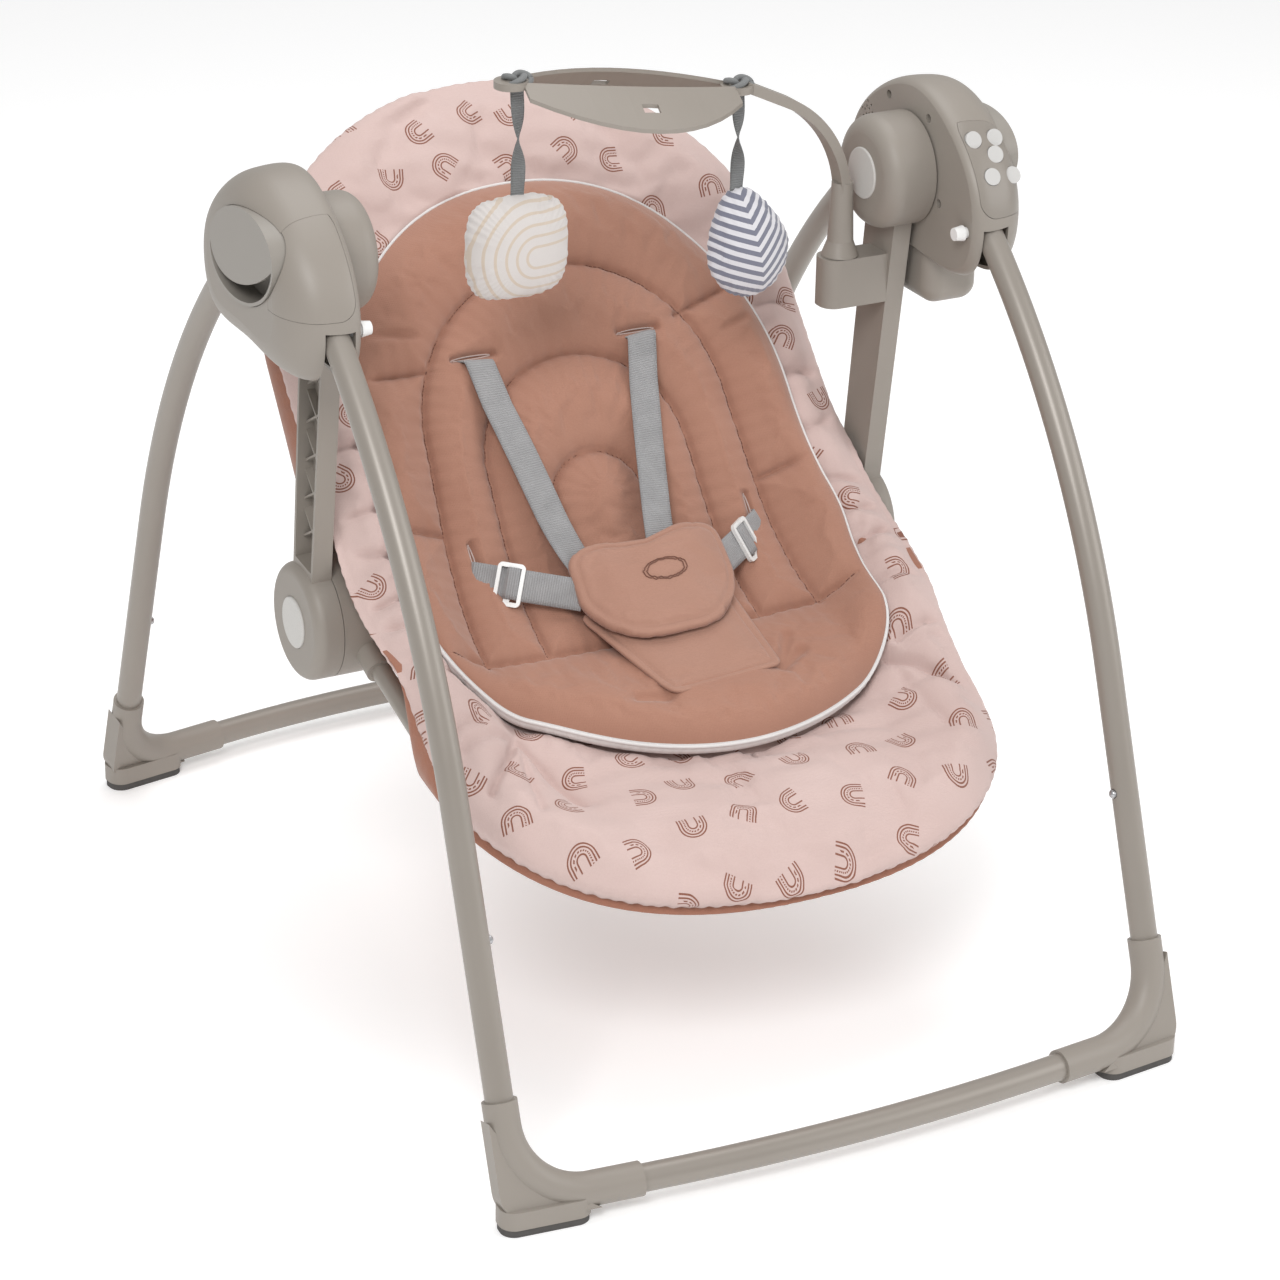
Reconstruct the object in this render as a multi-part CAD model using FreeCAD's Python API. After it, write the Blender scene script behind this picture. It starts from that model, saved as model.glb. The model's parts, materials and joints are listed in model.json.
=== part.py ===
import FreeCAD, Part

# Baby swing on a folding tube stand, in millimetres.
# Frame: +Z up, +X to the right when looking along +Y, the child faces -Y.  The origin lies on the floor
# under the middle of the whole swing.  What repeats on the other side is mirrored in the plane x = 0.

import math
import os

from FreeCAD import Vector

os.makedirs("parts", exist_ok=True)

# ---------------------------------------------------------------- driving dimensions
TUBE_R = 10.5                # 21 mm steel tube of the stand
TUBE_WALL = 1.2
SPIGOT_CLEARANCE = 0.05
BEND_R = 60.0                # corner bends of the floor tubes

LEG_X = 275.5                # plane of the legs
CORNER_Y = 392.0             # where a leg's line meets the height of the floor tube
FLOOR_TUBE_Z = 20.7
LEG_KNEE = (233.0, 455.0)    # y, z where the straight and the upper line of a leg cross
LEG_BEND_R = 690.0
LEG_EXIT = (98.0, 573.0)     # y, z where a leg leaves its hub
FRONT_BOW = 28.0             # how far the floor tubes bow outwards, at their polygon's middle point
REAR_BOW = 48.0
BOW_RUN = 175.0              # half length of the bow
FRONT_SEAM_Z = 187.0         # joint between floor tube and leg
REAR_SEAM_Z = 165.0
SPIGOT_LENGTH = 45.0
SWAGE_LENGTH = 3.0           # thickened neck below the seam, where the tube is reduced to its spigot
SNAP_RISE = 13.0             # height of the snap buttons above the seam

FOOT_WALL = 2.6
FOOT_PAD_H = 6.0             # rubber pad under each foot
FOOT_BASE = (28.0, 70.0)     # width and length of the base of each foot
FOOT_BASE_CORNER = 12.0
FOOT_PAD_INSET = 1.0
FOOT_UP = 92.0               # how far a foot's sleeve reaches up the leg and along the floor
FOOT_ALONG = 96.0
HEEL_REACH = 62.0            # how far the heel's web reaches along both tubes
HEEL_ROUND = 22.0

PIVOT_Z = 607.0              # swing axis, at y = 0
LEG_PIVOT = (-72.0, 600.0)   # y, z of the front legs' folding axis
FOLD_MAX = 55.0              # degrees, for the slot under each hub

HUB_IN = 257.0               # inner and outer face of a hub
HUB_OUT = 312.0
HUB_SPLIT = 290.0            # joint of the two covers
HUB_WALL = 2.6
HUB_CENTRE = (-2.0, 606.0)

HUB_POINTS = [(0, 677), (58, 656), (96, 606), (86, 556), (0, 541), (-96, 552), (-103, 592), (-64, 652)]
SCREW_SPOTS = [(34, 656), (-26, 653), (-47, 590), (66, 590)]      # y, z of the cover screws
RELEASE_SPOT = (-88.0, 579.0)        # y, z of the leg release
BUTTON_SPOTS = {
    "music_button": (270.5, 649.0),
    "sound_button": (291.0, 649.0),
    "timer_button": (285.0, 633.0),
    "speed_button": (276.0, 613.0),
    "power_button": (298.0, 613.0),
}
BUTTON_R = 6.8
PANEL_NORMAL = Vector(0, -0.87, 0.49).normalize()
BATTERY_LOW = (262.0, -30.0, 497.0)
BATTERY_HIGH = (311.0, 76.0, 556.0)
CELL_R = 7.2                 # AA cells: a 14.4 mm can, 49 mm long, with a 1.4 mm nub
CELL_LENGTH = 49.0
CELL_Z = 519.4
LEVER_DOWN = 44.0            # length of the drive lever below the swing axis
LEVER_IN = 281.0             # its inner and outer face
LEVER_OUT = 286.0
SPEAKER_SPOT = (44.0, 634.0)         # y, z of the loudspeaker's axis
SOUND_HOLES_Y = 66.0

DRUM_R = 45.0                # upper drum of a swing arm
DRUM_IN = 215.0
DRUM_OUT = 255.5
DRUM_WALL = 3.0
DRUM_BOSS_R = 12.0
SHAFT_R = 6.0
BUSH_R = 10.0
RUNNING = 0.05

ARM_IN = 236.0
ARM_OUT = 252.0
ARM_WIDTH_TOP = 44.0
ARM_WIDTH_LOW = 36.0
SEAT_PIVOT = (37.0, 297.0)   # y, z of the recline axis
DISC_R = 47.0
DISC_OUT = 258.0
CAP_R = 20.5

SEAT_TUBE_R = 8.0
SEAT_TUBE_X = 214.0
BACK_ANGLE = 54.0            # degrees from level
PAN_ANGLE = 20.6
GAP = 0.5                    # between a soft part and its neighbours

BACK_TUBE_END = 384.0        # how far the seat tubes reach from the recline axis
PAN_TUBE_END = 344.0
TUBE_SHOULDER = 172.0        # radius of their outer corners
INNER_HALF = 198.0           # half width between the brackets
COVER_UNDER = -14.0          # offsets from a seat plane
BACK_WEB_UNDER = 8.0
PAN_WEB_UNDER = -20.0
BACK_COVER_TOP = 20.0
PAN_COVER_TOP = 4.0
INSERT_THICK = 26.0

STRAP_WIDTH = 25.0
STRAP_THICK = 1.6
INSERT_BACK = BACK_COVER_TOP + GAP + INSERT_THICK + 3
INSERT_PAN = PAN_COVER_TOP + GAP + INSERT_THICK - 4
CHEST_S = (-58.0, 8.0)       # chest pad's ends along the backrest
CHEST_OFFSET = 86.0

STEM_X = 200.0               # toy bar post
STEM_Y = 5.0
RING_RISE = 8.0              # degrees that the ring rises away from the post
RING_LENGTH = 212.0
RING_START = (112.0, 689.0)  # x, z of its right tip
TOY_CLEAR = 1.0              # between a toy's strap and the ring above it
TOY_LOOP_R = 2.0


# ---------------------------------------------------------------- helpers
def bow_apex(bow):
    """How far the outermost point of a bowed floor tube lies from the swing axis, along Y."""
    half_turn = math.atan(bow / LEG_X)
    bend = BOW_RUN / math.tan(half_turn)
    return CORNER_Y + bow - bend * (1 / math.cos(half_turn) - 1) + TUBE_R


# The pieces are drawn with the swing axis at y = 0 and moved on saving, so that the origin is central.
CENTRE_Y = (bow_apex(REAR_BOW) - bow_apex(FRONT_BOW)) / 2


def save(name, *shapes):
    """Write one named piece, or a group of identical ones, as STEP."""
    shape = shapes[0].copy() if len(shapes) == 1 else Part.makeCompound(list(shapes)).copy()
    shape.translate(Vector(0, -CENTRE_Y, 0))
    shape.exportStep("parts/%s.step" % name)


def mirrored(shape):
    """The same piece on the other side of the plane x = 0."""
    return shape.mirror(Vector(0, 0, 0), Vector(1, 0, 0))


def box(low, high):
    """A box from its lowest to its highest corner."""
    size = [high[i] - low[i] for i in range(3)]
    return Part.makeBox(size[0], size[1], size[2], Vector(*low))


def rod_x(radius, x0, x1, y, z):
    """A round bar along X."""
    return Part.makeCylinder(radius, x1 - x0, Vector(x0, y, z), Vector(1, 0, 0))


def rounded_path(points, radii):
    """Straight runs through the points, joined by tangent arcs of the given radii."""
    nodes = [Vector(*p) for p in points]
    edges = []
    start = nodes[0]
    for i, radius in enumerate(radii, 1):
        corner = nodes[i]
        back = (nodes[i - 1] - corner).normalize()
        ahead = (nodes[i + 1] - corner).normalize()
        half = back.getAngle(ahead) / 2
        reach = radius / math.tan(half)
        centre = corner + (back + ahead).normalize() * (radius / math.sin(half))
        a = corner + back * reach
        b = corner + ahead * reach
        middle = centre + (corner - centre).normalize() * radius
        if start.distanceToPoint(a) > 1e-6:
            edges.append(Part.LineSegment(start, a).toShape())
        edges.append(Part.Arc(a, middle, b).toShape())
        start = b
    edges.append(Part.LineSegment(start, nodes[-1]).toShape())
    return Part.Wire(edges)


def sweep_round(path, radius):
    """A solid round bar along a path."""
    first = path.OrderedEdges[0]
    point = first.valueAt(first.FirstParameter)
    along = first.tangentAt(first.FirstParameter)
    ring = Part.Wire(Part.makeCircle(radius, point, along))
    return path.makePipeShell([ring], True, False)


def tube(path, radius, wall):
    """A hollow tube along a path, open at its ends."""
    return sweep_round(path, radius).cut(sweep_round(path, radius - wall))


def slab(centre, across, along, width, length, thick, fillet=0.0):
    """A flat plate about its centre: width is measured across and length along."""
    across = Vector(across).normalize()
    along = Vector(along).normalize()
    normal = across.cross(along).normalize()
    a = across * (width / 2)
    b = along * (length / 2)
    base = centre - normal * (thick / 2)
    ring = [base - a - b, base + a - b, base + a + b, base - a + b, base - a - b]
    plate = Part.Face(Part.makePolygon(ring)).extrude(normal * thick)
    if fillet:
        upright = [e for e in plate.Edges if abs(e.tangentAt(0).dot(normal)) > 0.9]
        plate = plate.makeFillet(fillet, upright)
    return plate


def prism_x(outline, x0, x1):
    """A closed wire drawn at x = 0 in the YZ plane, extruded from x0 to x1."""
    face = Part.Face(outline)
    face.translate(Vector(x0, 0, 0))
    return face.extrude(Vector(x1 - x0, 0, 0))


def smooth_loop(points):
    """A smooth closed curve through points."""
    curve = Part.BSplineCurve()
    curve.interpolate(Points=[Vector(*p) for p in points], PeriodicFlag=True)
    return Part.Wire(curve.toShape())


def ellipse_x(y, z, major, minor, tilt, x=0.0):
    """An ellipse in a plane of constant x; tilt is its long axis' angle above +Y, in degrees."""
    angle = math.radians(tilt)
    long_axis = Vector(0, math.cos(angle), math.sin(angle))
    short_axis = Vector(0, -math.sin(angle), math.cos(angle))
    centre = Vector(x, y, z)
    curve = Part.Ellipse(centre + long_axis * major, centre + short_axis * minor, centre)
    return Part.Wire(curve.toShape())


# ---------------------------------------------------------------- stand tubes
def leg_point(side, z):
    """A point on the straight lower line of a leg; side is -1 at the front and 1 at the rear."""
    slope = (CORNER_Y - LEG_KNEE[0]) / (LEG_KNEE[1] - FLOOR_TUBE_Z)
    return (LEG_X, side * (CORNER_Y - slope * (z - FLOOR_TUBE_Z)), z)


def leg_path(side, seam_z):
    """The upper leg's centreline, from the seam to its end inside the hub."""
    dy = LEG_KNEE[0] - LEG_EXIT[0]
    dz = LEG_EXIT[1] - LEG_KNEE[1]
    inside = 22.0 / math.hypot(dy, dz)
    end = (LEG_X, side * (LEG_EXIT[0] - dy * inside), LEG_EXIT[1] + dz * inside)
    knee = (LEG_X, side * LEG_KNEE[0], LEG_KNEE[1])
    return rounded_path([leg_point(side, seam_z), knee, end], [LEG_BEND_R])


def snap_hole(side, seam_z):
    """The cutter for a snap button's hole, on the inner side of a leg."""
    _, y, z = leg_point(side, seam_z + SNAP_RISE)
    return rod_x(3.8, LEG_X - 14.0, LEG_X - 5.0, y, z)


def upper_leg(side, seam_z):
    """One hollow upper leg tube on the right-hand side."""
    return tube(leg_path(side, seam_z), TUBE_R, TUBE_WALL).cut(snap_hole(side, seam_z))


def floor_path(side, bow, seam_z):
    """The centreline of a floor tube, from the right seam to the left one."""
    right = leg_point(side, seam_z)
    corner = (LEG_X, side * CORNER_Y, FLOOR_TUBE_Z)
    middle = (0.0, side * (CORNER_Y + bow), FLOOR_TUBE_Z)
    half_turn = math.atan(bow / LEG_X)
    points = [right, corner, middle, (-corner[0], corner[1], corner[2]), (-right[0], right[1], right[2])]
    return rounded_path(points, [BEND_R, BOW_RUN / math.tan(half_turn), BEND_R])


def floor_tube(side, bow, seam_z):
    """The floor tube with a reduced spigot at each end that slides into the leg above it."""
    bar = tube(floor_path(side, bow, seam_z), TUBE_R, TUBE_WALL)
    spigot_r = TUBE_R - TUBE_WALL - SPIGOT_CLEARANCE
    seam = Vector(*leg_point(side, seam_z))
    along = Vector(*leg_point(side, seam_z + SPIGOT_LENGTH)) - seam
    length = along.Length
    along.normalize()
    start = seam - along * SWAGE_LENGTH
    neck = Part.makeCylinder(TUBE_R, SWAGE_LENGTH, start, along)
    spigot = neck.fuse(Part.makeCylinder(spigot_r, length, seam, along))
    bore = Part.makeCylinder(spigot_r - TUBE_WALL, length + 2 * SWAGE_LENGTH, start, along)
    spigot = spigot.cut([bore, snap_hole(side, seam_z)])
    return bar.fuse([spigot, mirrored(spigot)])


def snap_pin(side, seam_z):
    """A domed spring button that locks a floor tube in its leg."""
    _, y, z = leg_point(side, seam_z + SNAP_RISE)
    outer_x = LEG_X - TUBE_R
    stem = rod_x(3.5, outer_x - 1.2, outer_x + 3.0, y, z)
    dome = Part.makeSphere(4.0, Vector(outer_x + 0.6, y, z)).common(
        rod_x(3.5, outer_x - 4.0, outer_x, y, z))
    return stem.fuse(dome)


# ---------------------------------------------------------------- feet
def corner_path(side, bow, up, along):
    """The centreline round one floor corner, from a height on the leg to a distance along the floor."""
    corner = (LEG_X, side * CORNER_Y, FLOOR_TUBE_Z)
    end = (LEG_X - along, side * (CORNER_Y + bow * along / LEG_X), FLOOR_TUBE_Z)
    return rounded_path([leg_point(side, up), corner, end], [BEND_R])


def foot_base(side, bow, low, high, inset):
    """The rounded block under a floor corner, between two heights."""
    along = Vector(-LEG_X, side * bow, 0).normalize()
    across = along.cross(Vector(0, 0, 1))
    centre = Vector(LEG_X, side * CORNER_Y, (low + high) / 2)
    centre = centre + along * (FOOT_BASE[1] / 2 - TUBE_R - FOOT_WALL)
    return slab(centre, across, along, FOOT_BASE[0] - 2 * inset, FOOT_BASE[1] - 2 * inset, high - low,
                FOOT_BASE_CORNER - inset)


def foot_heel(side, bow):
    """The web that fills the outside of the corner bend."""
    corner = Vector(LEG_X, side * CORNER_Y, FLOOR_TUBE_Z)
    up = (Vector(*leg_point(side, 100.0)) - corner).normalize()
    along = Vector(-LEG_X, side * bow, 0).normalize()
    normal = up.cross(along).normalize()
    out = TUBE_R + FOOT_WALL
    half = TUBE_R - 1.0
    inner = BEND_R - 2 * TUBE_R
    corners = ((HEEL_REACH, -out), (-out, -out), (-out, HEEL_REACH), (0.0, inner), (inner, 0.0))
    points = [corner + up * a + along * b - normal * half for a, b in corners]
    web = Part.Face(Part.makePolygon(points + [points[0]])).extrude(normal * 2 * half)
    edge = [e for e in web.Edges if abs(e.tangentAt(e.FirstParameter).dot(normal)) > 0.9
            and (e.CenterOfMass - corner).Length < 1.6 * out]
    return web.makeFillet(HEEL_ROUND, edge)


def foot(side, bow):
    """A plastic boot round one corner bend: a sleeve, a filled heel and a flat base."""
    sleeve = sweep_round(corner_path(side, bow, FOOT_UP, FOOT_ALONG), TUBE_R + FOOT_WALL)
    body = sleeve.fuse([foot_heel(side, bow), foot_base(side, bow, FOOT_PAD_H, FLOOR_TUBE_Z, 0.0)])
    body = body.common(box((0, -600, FOOT_PAD_H), (400, 600, 200)))
    return body.cut(sweep_round(corner_path(side, bow, 1.5 * FOOT_UP, 1.5 * FOOT_ALONG), TUBE_R))


def foot_pad(side, bow):
    """The rubber pad under one boot."""
    return foot_base(side, bow, 0.0, FOOT_PAD_H, FOOT_PAD_INSET)


# ---------------------------------------------------------------- hubs
def hub_section(scale, x):
    """The hub's outline, scaled about its centre, in the plane of the given x."""
    cy, cz = HUB_CENTRE
    return smooth_loop([(x, cy + (y - cy) * scale, cz + (z - cz) * scale) for y, z in HUB_POINTS])


def hub_body(inset):
    """The hub's domed solid; inset shrinks it evenly for the inside of its wall."""
    shrink = 1.0 - inset / 72.0
    stations = [(0.0, 0.93), (0.08, 0.985), (0.35, 1.0), (0.62, 0.97), (0.84, 0.87), (0.96, 0.74),
                (1.0, 0.62)]
    low = HUB_IN + inset
    high = HUB_OUT - inset
    wires = [hub_section(scale * shrink, low + (high - low) * t) for t, scale in stations]
    return Part.makeLoft(wires, True, False)


def leg_slot():
    """The slot under a hub through which the front leg folds, and the seat of the rear leg."""
    half = TUBE_R + 1.0
    y, z = LEG_PIVOT
    reach = 150.0
    start = math.radians(-90.0 - 62.0)
    stop = math.radians(-90.0 + FOLD_MAX - 28.0)
    points = [Vector(LEG_X - half, y, z)]
    for i in range(9):
        angle = start + (stop - start) * i / 8
        points.append(Vector(LEG_X - half, y + reach * math.cos(angle), z + reach * math.sin(angle)))
    points.append(points[0])
    sector = Part.Face(Part.makePolygon(points)).extrude(Vector(2 * half, 0, 0))
    rear = sweep_round(leg_path(1, REAR_SEAM_Z), TUBE_R)
    return sector.fuse(rear)


def hub_shell():
    """The hollow hub of the right-hand side, before it is split into its two covers."""
    shell = hub_body(0.0).cut(hub_body(HUB_WALL))
    boss = rod_x(BUSH_R + 3.0, HUB_IN, HUB_IN + 14.0, 0, PIVOT_Z)
    shell = shell.fuse(boss)
    for y, z in SCREW_SPOTS:
        shell = shell.fuse(rod_x(5.0, HUB_IN, HUB_SPLIT - 2.0, y, z).common(hub_body(0.0)))
    shell = shell.cut(rod_x(BUSH_R, HUB_IN - 1, HUB_IN + 15.0, 0, PIVOT_Z))
    for y, z in SCREW_SPOTS:
        shell = shell.cut(rod_x(3.6, HUB_IN - 2, HUB_IN + 8.0, y, z))
        shell = shell.cut(rod_x(1.6, HUB_IN - 2, HUB_SPLIT - 4.0, y, z))
    return shell.cut(leg_slot())


def hub_screw(y, z):
    """A pan-head screw at the bottom of its well."""
    head = rod_x(3.4, HUB_IN + 5.6, HUB_IN + 8.0, y, z)
    shank = rod_x(1.55, HUB_IN + 8.0, HUB_SPLIT - 6.0, y, z)
    slot = box((HUB_IN + 5.0, y - 2.2, z - 0.4), (HUB_IN + 6.4, y + 2.2, z + 0.4))
    return head.fuse(shank).cut(slot)


def panel_prism(grow):
    """The region of a hub's front skin that is a separate panel, drawn in the XZ plane."""
    x0, x1 = 262.0 - grow, 330.0
    z0, z1 = 592.0 - grow, 664.0 + grow
    prism = box((x0, -160, z0), (x1, -56 + grow, z1))
    upright = [e for e in prism.Edges if abs(e.tangentAt(0).y) > 0.9 and e.BoundBox.XMax < x0 + 1]
    return prism.makeFillet(14.0, upright)


def panel_point(x, z):
    """Where a line along the panel's mean normal, through the given x and z, leaves the hub."""
    start = Vector(x, -40, z - 40 * PANEL_NORMAL.z)
    hit = Part.makeLine(start, start + PANEL_NORMAL * 120).common(hub_body(0.0))
    far = max((v.Point for v in hit.Vertexes), key=lambda p: (p - start).Length)
    return far


def panel_button(name):
    """A round push button, 1 mm proud of the panel."""
    point = panel_point(*BUTTON_SPOTS[name])
    return Part.makeCylinder(BUTTON_R, 6.0, point - PANEL_NORMAL * 5.0, PANEL_NORMAL)


def panel_button_hole(name):
    """The hole in the panel for a push button."""
    point = panel_point(*BUTTON_SPOTS[name])
    return Part.makeCylinder(BUTTON_R + 0.3, 30.0, point - PANEL_NORMAL * 20.0, PANEL_NORMAL)


def hub_panel(shell, with_buttons):
    """The separate front panel of a hub, with holes where it carries the buttons."""
    panel = shell.common(panel_prism(-0.3)).cut(grip_oval(0.6, HUB_SPLIT, HUB_OUT + 2))
    if with_buttons:
        for name in BUTTON_SPOTS:
            panel = panel.cut(panel_button_hole(name))
    return panel


def hub_cover(shell, low_x, high_x, grip_depth, with_speaker=False):
    """The stretch of a hub's shell between two planes of constant x."""
    cover = shell.common(box((low_x, -300, 400), (high_x, 300, 800)))
    cover = cover.cut([panel_prism(0.0), grip_oval(0.0, HUB_OUT - grip_depth - 1, HUB_OUT + 4)])
    y, z = RELEASE_SPOT
    cover = cover.cut(rod_x(4.8, HUB_IN - 1, HUB_IN + HUB_WALL + 1, y, z))
    if with_speaker:
        cover = cover.cut(speaker_holes())
    return cover


def grip_oval(grow, x0, x1):
    """The oval of the grip panel on a hub's outer face."""
    return prism_x(ellipse_x(-9.0, 618.0, 62.0 + grow, 37.0 + grow, -12.0), x0, x1)


def grip_panel(depth):
    """The oval panel with a crescent finger recess along its lower rear edge."""
    plate = grip_oval(-0.4, HUB_OUT - depth, HUB_OUT + 1.5).cut(
        grip_oval(-3.0, HUB_OUT - depth + 2.6, HUB_OUT - 1.1))
    upper = prism_x(ellipse_x(-26.0, 645.0, 82.0, 40.0, -27.0), HUB_OUT - 4.0, HUB_OUT + 4.0)
    recess = grip_oval(-3.0, HUB_OUT - depth + 3.0, HUB_OUT + 4.0).cut(upper)
    return plate.cut(recess)


def release_button():
    """The tapered leg-release button on a hub's inner face, beside the front leg."""
    y, z = RELEASE_SPOT
    stem = rod_x(4.4, HUB_IN - 4.0, HUB_IN + 4.6, y, z)
    cap = Part.makeCone(6.2, 5.0, 8.0, Vector(HUB_IN - 2.8, y, z), Vector(-1, 0, 0))
    return stem.fuse(cap)


# ---------------------------------------------------------------- battery box and electrics
def battery_block(inset):
    """The rounded block of the battery box."""
    low = [v + inset for v in BATTERY_LOW]
    high = [v - inset for v in BATTERY_HIGH]
    block = box(low, high)
    edges = [e for e in block.Edges if e.BoundBox.ZMin < low[2] + 1]
    return block.makeFillet(14.0 - inset, edges)


def battery_case():
    """The box under the right hub, open on its outer side for the door."""
    case = battery_block(0.0).cut(battery_block(2.4))
    case = case.cut(hub_body(0.0)).cut(battery_door_block(0.3))
    return case


def battery_door_block(grow):
    """The door's block in the outer side of the battery box."""
    low = (BATTERY_HIGH[0] - 2.4 - grow, BATTERY_LOW[1] + 16 - grow, BATTERY_LOW[2] + 15 - grow)
    high = (BATTERY_HIGH[0] + grow, BATTERY_HIGH[1] - 16 + grow, BATTERY_LOW[2] + 43 + grow)
    return box(low, high)


def batteries():
    """Four AA cells, two by two, along Y."""
    cells = []
    for x in (279.0, 294.5):
        for y in (-27.5, 23.0):
            can = Part.makeCylinder(CELL_R, CELL_LENGTH, Vector(x, y, CELL_Z), Vector(0, 1, 0))
            nub = Part.makeCylinder(2.7, 1.4, Vector(x, y + CELL_LENGTH, CELL_Z), Vector(0, 1, 0))
            cells.append(can.fuse(nub))
    return cells


def circuit_board():
    """The control board that lies behind the panel, with its chip on the rear."""
    up = Vector(1, 0, 0).cross(PANEL_NORMAL) * -1
    centre = panel_point(276.0, 640.0) - PANEL_NORMAL * 13.0
    return slab(centre, Vector(1, 0, 0), up, 24.0, 40.0, 1.6).fuse(
        slab(centre - PANEL_NORMAL * 2.0, Vector(1, 0, 0), up, 10.0, 10.0, 2.6))


def speaker():
    """A small round loudspeaker at the top rear of the right hub."""
    y, z = SPEAKER_SPOT
    magnet = rod_x(11.0, 274.0, 282.0, y, z)
    basket = Part.makeCone(11.0, 17.0, 8.0, Vector(274.0, y, z), Vector(-1, 0, 0))
    return magnet.fuse(basket)


def speaker_holes():
    """The cluster of small sound holes beside the drum."""
    holes = []
    for ring, count in ((3.5, 5), (8.0, 8)):
        for i in range(count):
            angle = 2 * math.pi * i / count
            y = SOUND_HOLES_Y + ring * math.cos(angle)
            z = SPEAKER_SPOT[1] + ring * math.sin(angle)
            holes.append(rod_x(1.1, HUB_IN - 2, HUB_IN + 12, y, z))
    return holes


def drive_lever():
    """The lever on the end of the right pivot shaft that carries the drive magnet."""
    hub_ring = rod_x(10.0, LEVER_IN, LEVER_OUT, 0, PIVOT_Z)
    blade = box((LEVER_IN, -5, PIVOT_Z - LEVER_DOWN), (LEVER_OUT, 5, PIVOT_Z))
    return hub_ring.fuse(blade).cut(rod_x(SHAFT_R, LEVER_IN - 1, LEVER_OUT + 1, 0, PIVOT_Z))


def drive_magnet():
    """The magnet block at the foot of the drive lever."""
    return box((LEVER_OUT, -7, PIVOT_Z - LEVER_DOWN), (LEVER_OUT + 3, 7, PIVOT_Z - LEVER_DOWN + 14))


def drive_coil():
    """The flat coil beside the magnet's path."""
    z = PIVOT_Z - LEVER_DOWN + 7
    return rod_x(10.0, 290.5, 295.0, 0, z).cut(rod_x(3.0, 290, 296, 0, z))


# ---------------------------------------------------------------- swing arms
def arm_frame():
    """The arm's direction from the swing axis to the recline axis, and its length."""
    along = Vector(0, SEAT_PIVOT[0], SEAT_PIVOT[1] - PIVOT_Z)
    return along.normalize(), math.hypot(SEAT_PIVOT[0], SEAT_PIVOT[1] - PIVOT_Z)


def arm_point(t, across, x):
    """A point at t along the arm from the swing axis and across it, towards the rear."""
    along, _ = arm_frame()
    side = Vector(0, -along.z, along.y)
    return Vector(x, 0, PIVOT_Z) + along * t + side * across


def drum_block(inset, x1):
    """The drum's rounded solid; inset shrinks it for the inside of its wall."""
    x0 = DRUM_IN + inset
    drum = rod_x(DRUM_R - inset, x0, x1, 0, PIVOT_Z)
    rim = [e for e in drum.Edges if e.BoundBox.XMax < x0 + 1 and e.BoundBox.DiagonalLength > 50]
    return drum.makeFillet(14.0 - inset, rim)


def arm_drum():
    """The hollow upper drum, open towards the hub, with the boss that holds the shaft."""
    boss = rod_x(DRUM_BOSS_R, DRUM_IN + 1, DRUM_OUT, 0, PIVOT_Z)
    return drum_block(0.0, DRUM_OUT).cut(drum_block(DRUM_WALL, DRUM_OUT + 1)).fuse(boss)


def swing_arm():
    """One arm: upper drum, ribbed channel and outer recline disc."""
    _, length = arm_frame()
    drum = arm_drum()
    top, low = ARM_WIDTH_TOP / 2, ARM_WIDTH_LOW / 2
    corners = [(20.0, -top), (length - 20.0, -low), (length - 20.0, low), (20.0, top)]
    points = [arm_point(t, a, ARM_IN) for t, a in corners]
    beam = Part.Face(Part.makePolygon(points + [points[0]])).extrude(Vector(ARM_OUT - ARM_IN, 0, 0))
    disc = rod_x(DISC_R, ARM_IN, DISC_OUT, *SEAT_PIVOT)
    edge = [e for e in disc.Edges if e.BoundBox.XMin > DISC_OUT - 1 and e.BoundBox.DiagonalLength > 50]
    disc = disc.makeFillet(9.0, edge)
    channel_points = [arm_point(t, a, ARM_IN + 3.0) for t, a in
                      [(DRUM_R + 4, 3 - top), (length - DISC_R - 3, 3 - low),
                       (length - DISC_R - 3, low - 3), (DRUM_R + 4, top - 3)]]
    channel = Part.Face(Part.makePolygon(channel_points + [channel_points[0]]))
    channel = channel.extrude(Vector(ARM_OUT - ARM_IN, 0, 0))
    beam = beam.cut(channel)
    arm = drum.fuse([beam, disc] + arm_ribs(channel))
    arm = arm.cut(rod_x(SHAFT_R, DRUM_IN + 8, DRUM_OUT + 1, 0, PIVOT_Z))
    arm = arm.cut(rod_x(CAP_R, DRUM_IN - 1, DRUM_IN + 2.0, 0, PIVOT_Z))
    arm = arm.cut(rod_x(CAP_R + 0.3, DISC_OUT - 9.0, DISC_OUT + 1, *SEAT_PIVOT))
    return arm.cut(rod_x(6.0, ARM_IN - 1, DISC_OUT - 12.0, *SEAT_PIVOT))


def arm_ribs(channel):
    """Crossed stiffening ribs along the channel."""
    ribs = []
    _, length = arm_frame()
    pitch = 33.0
    count = 6
    half = 22.0
    depth = 7.0
    for i in range(count):
        middle = DRUM_R + 24.0 + i * pitch
        for lean in (-1, 1):
            a = arm_point(middle - half * 0.75, -lean * half, ARM_IN + 2.5)
            b = arm_point(middle + half * 0.75, lean * half, ARM_IN + 2.5)
            across = (b - a).cross(Vector(1, 0, 0)).normalize() * 0.8
            face = Part.Face(Part.makePolygon([a - across, b - across, b + across, a + across, a - across]))
            ribs.append(face.extrude(Vector(depth, 0, 0)).common(channel))
    return ribs


def arm_cap():
    """The light cap on the inner face of an arm's drum."""
    disc = rod_x(CAP_R, DRUM_IN - 1.5, DRUM_IN + 2.0, 0, PIVOT_Z)
    edge = [e for e in disc.Edges if e.BoundBox.XMax < DRUM_IN]
    return disc.makeFillet(1.2, edge)


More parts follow.
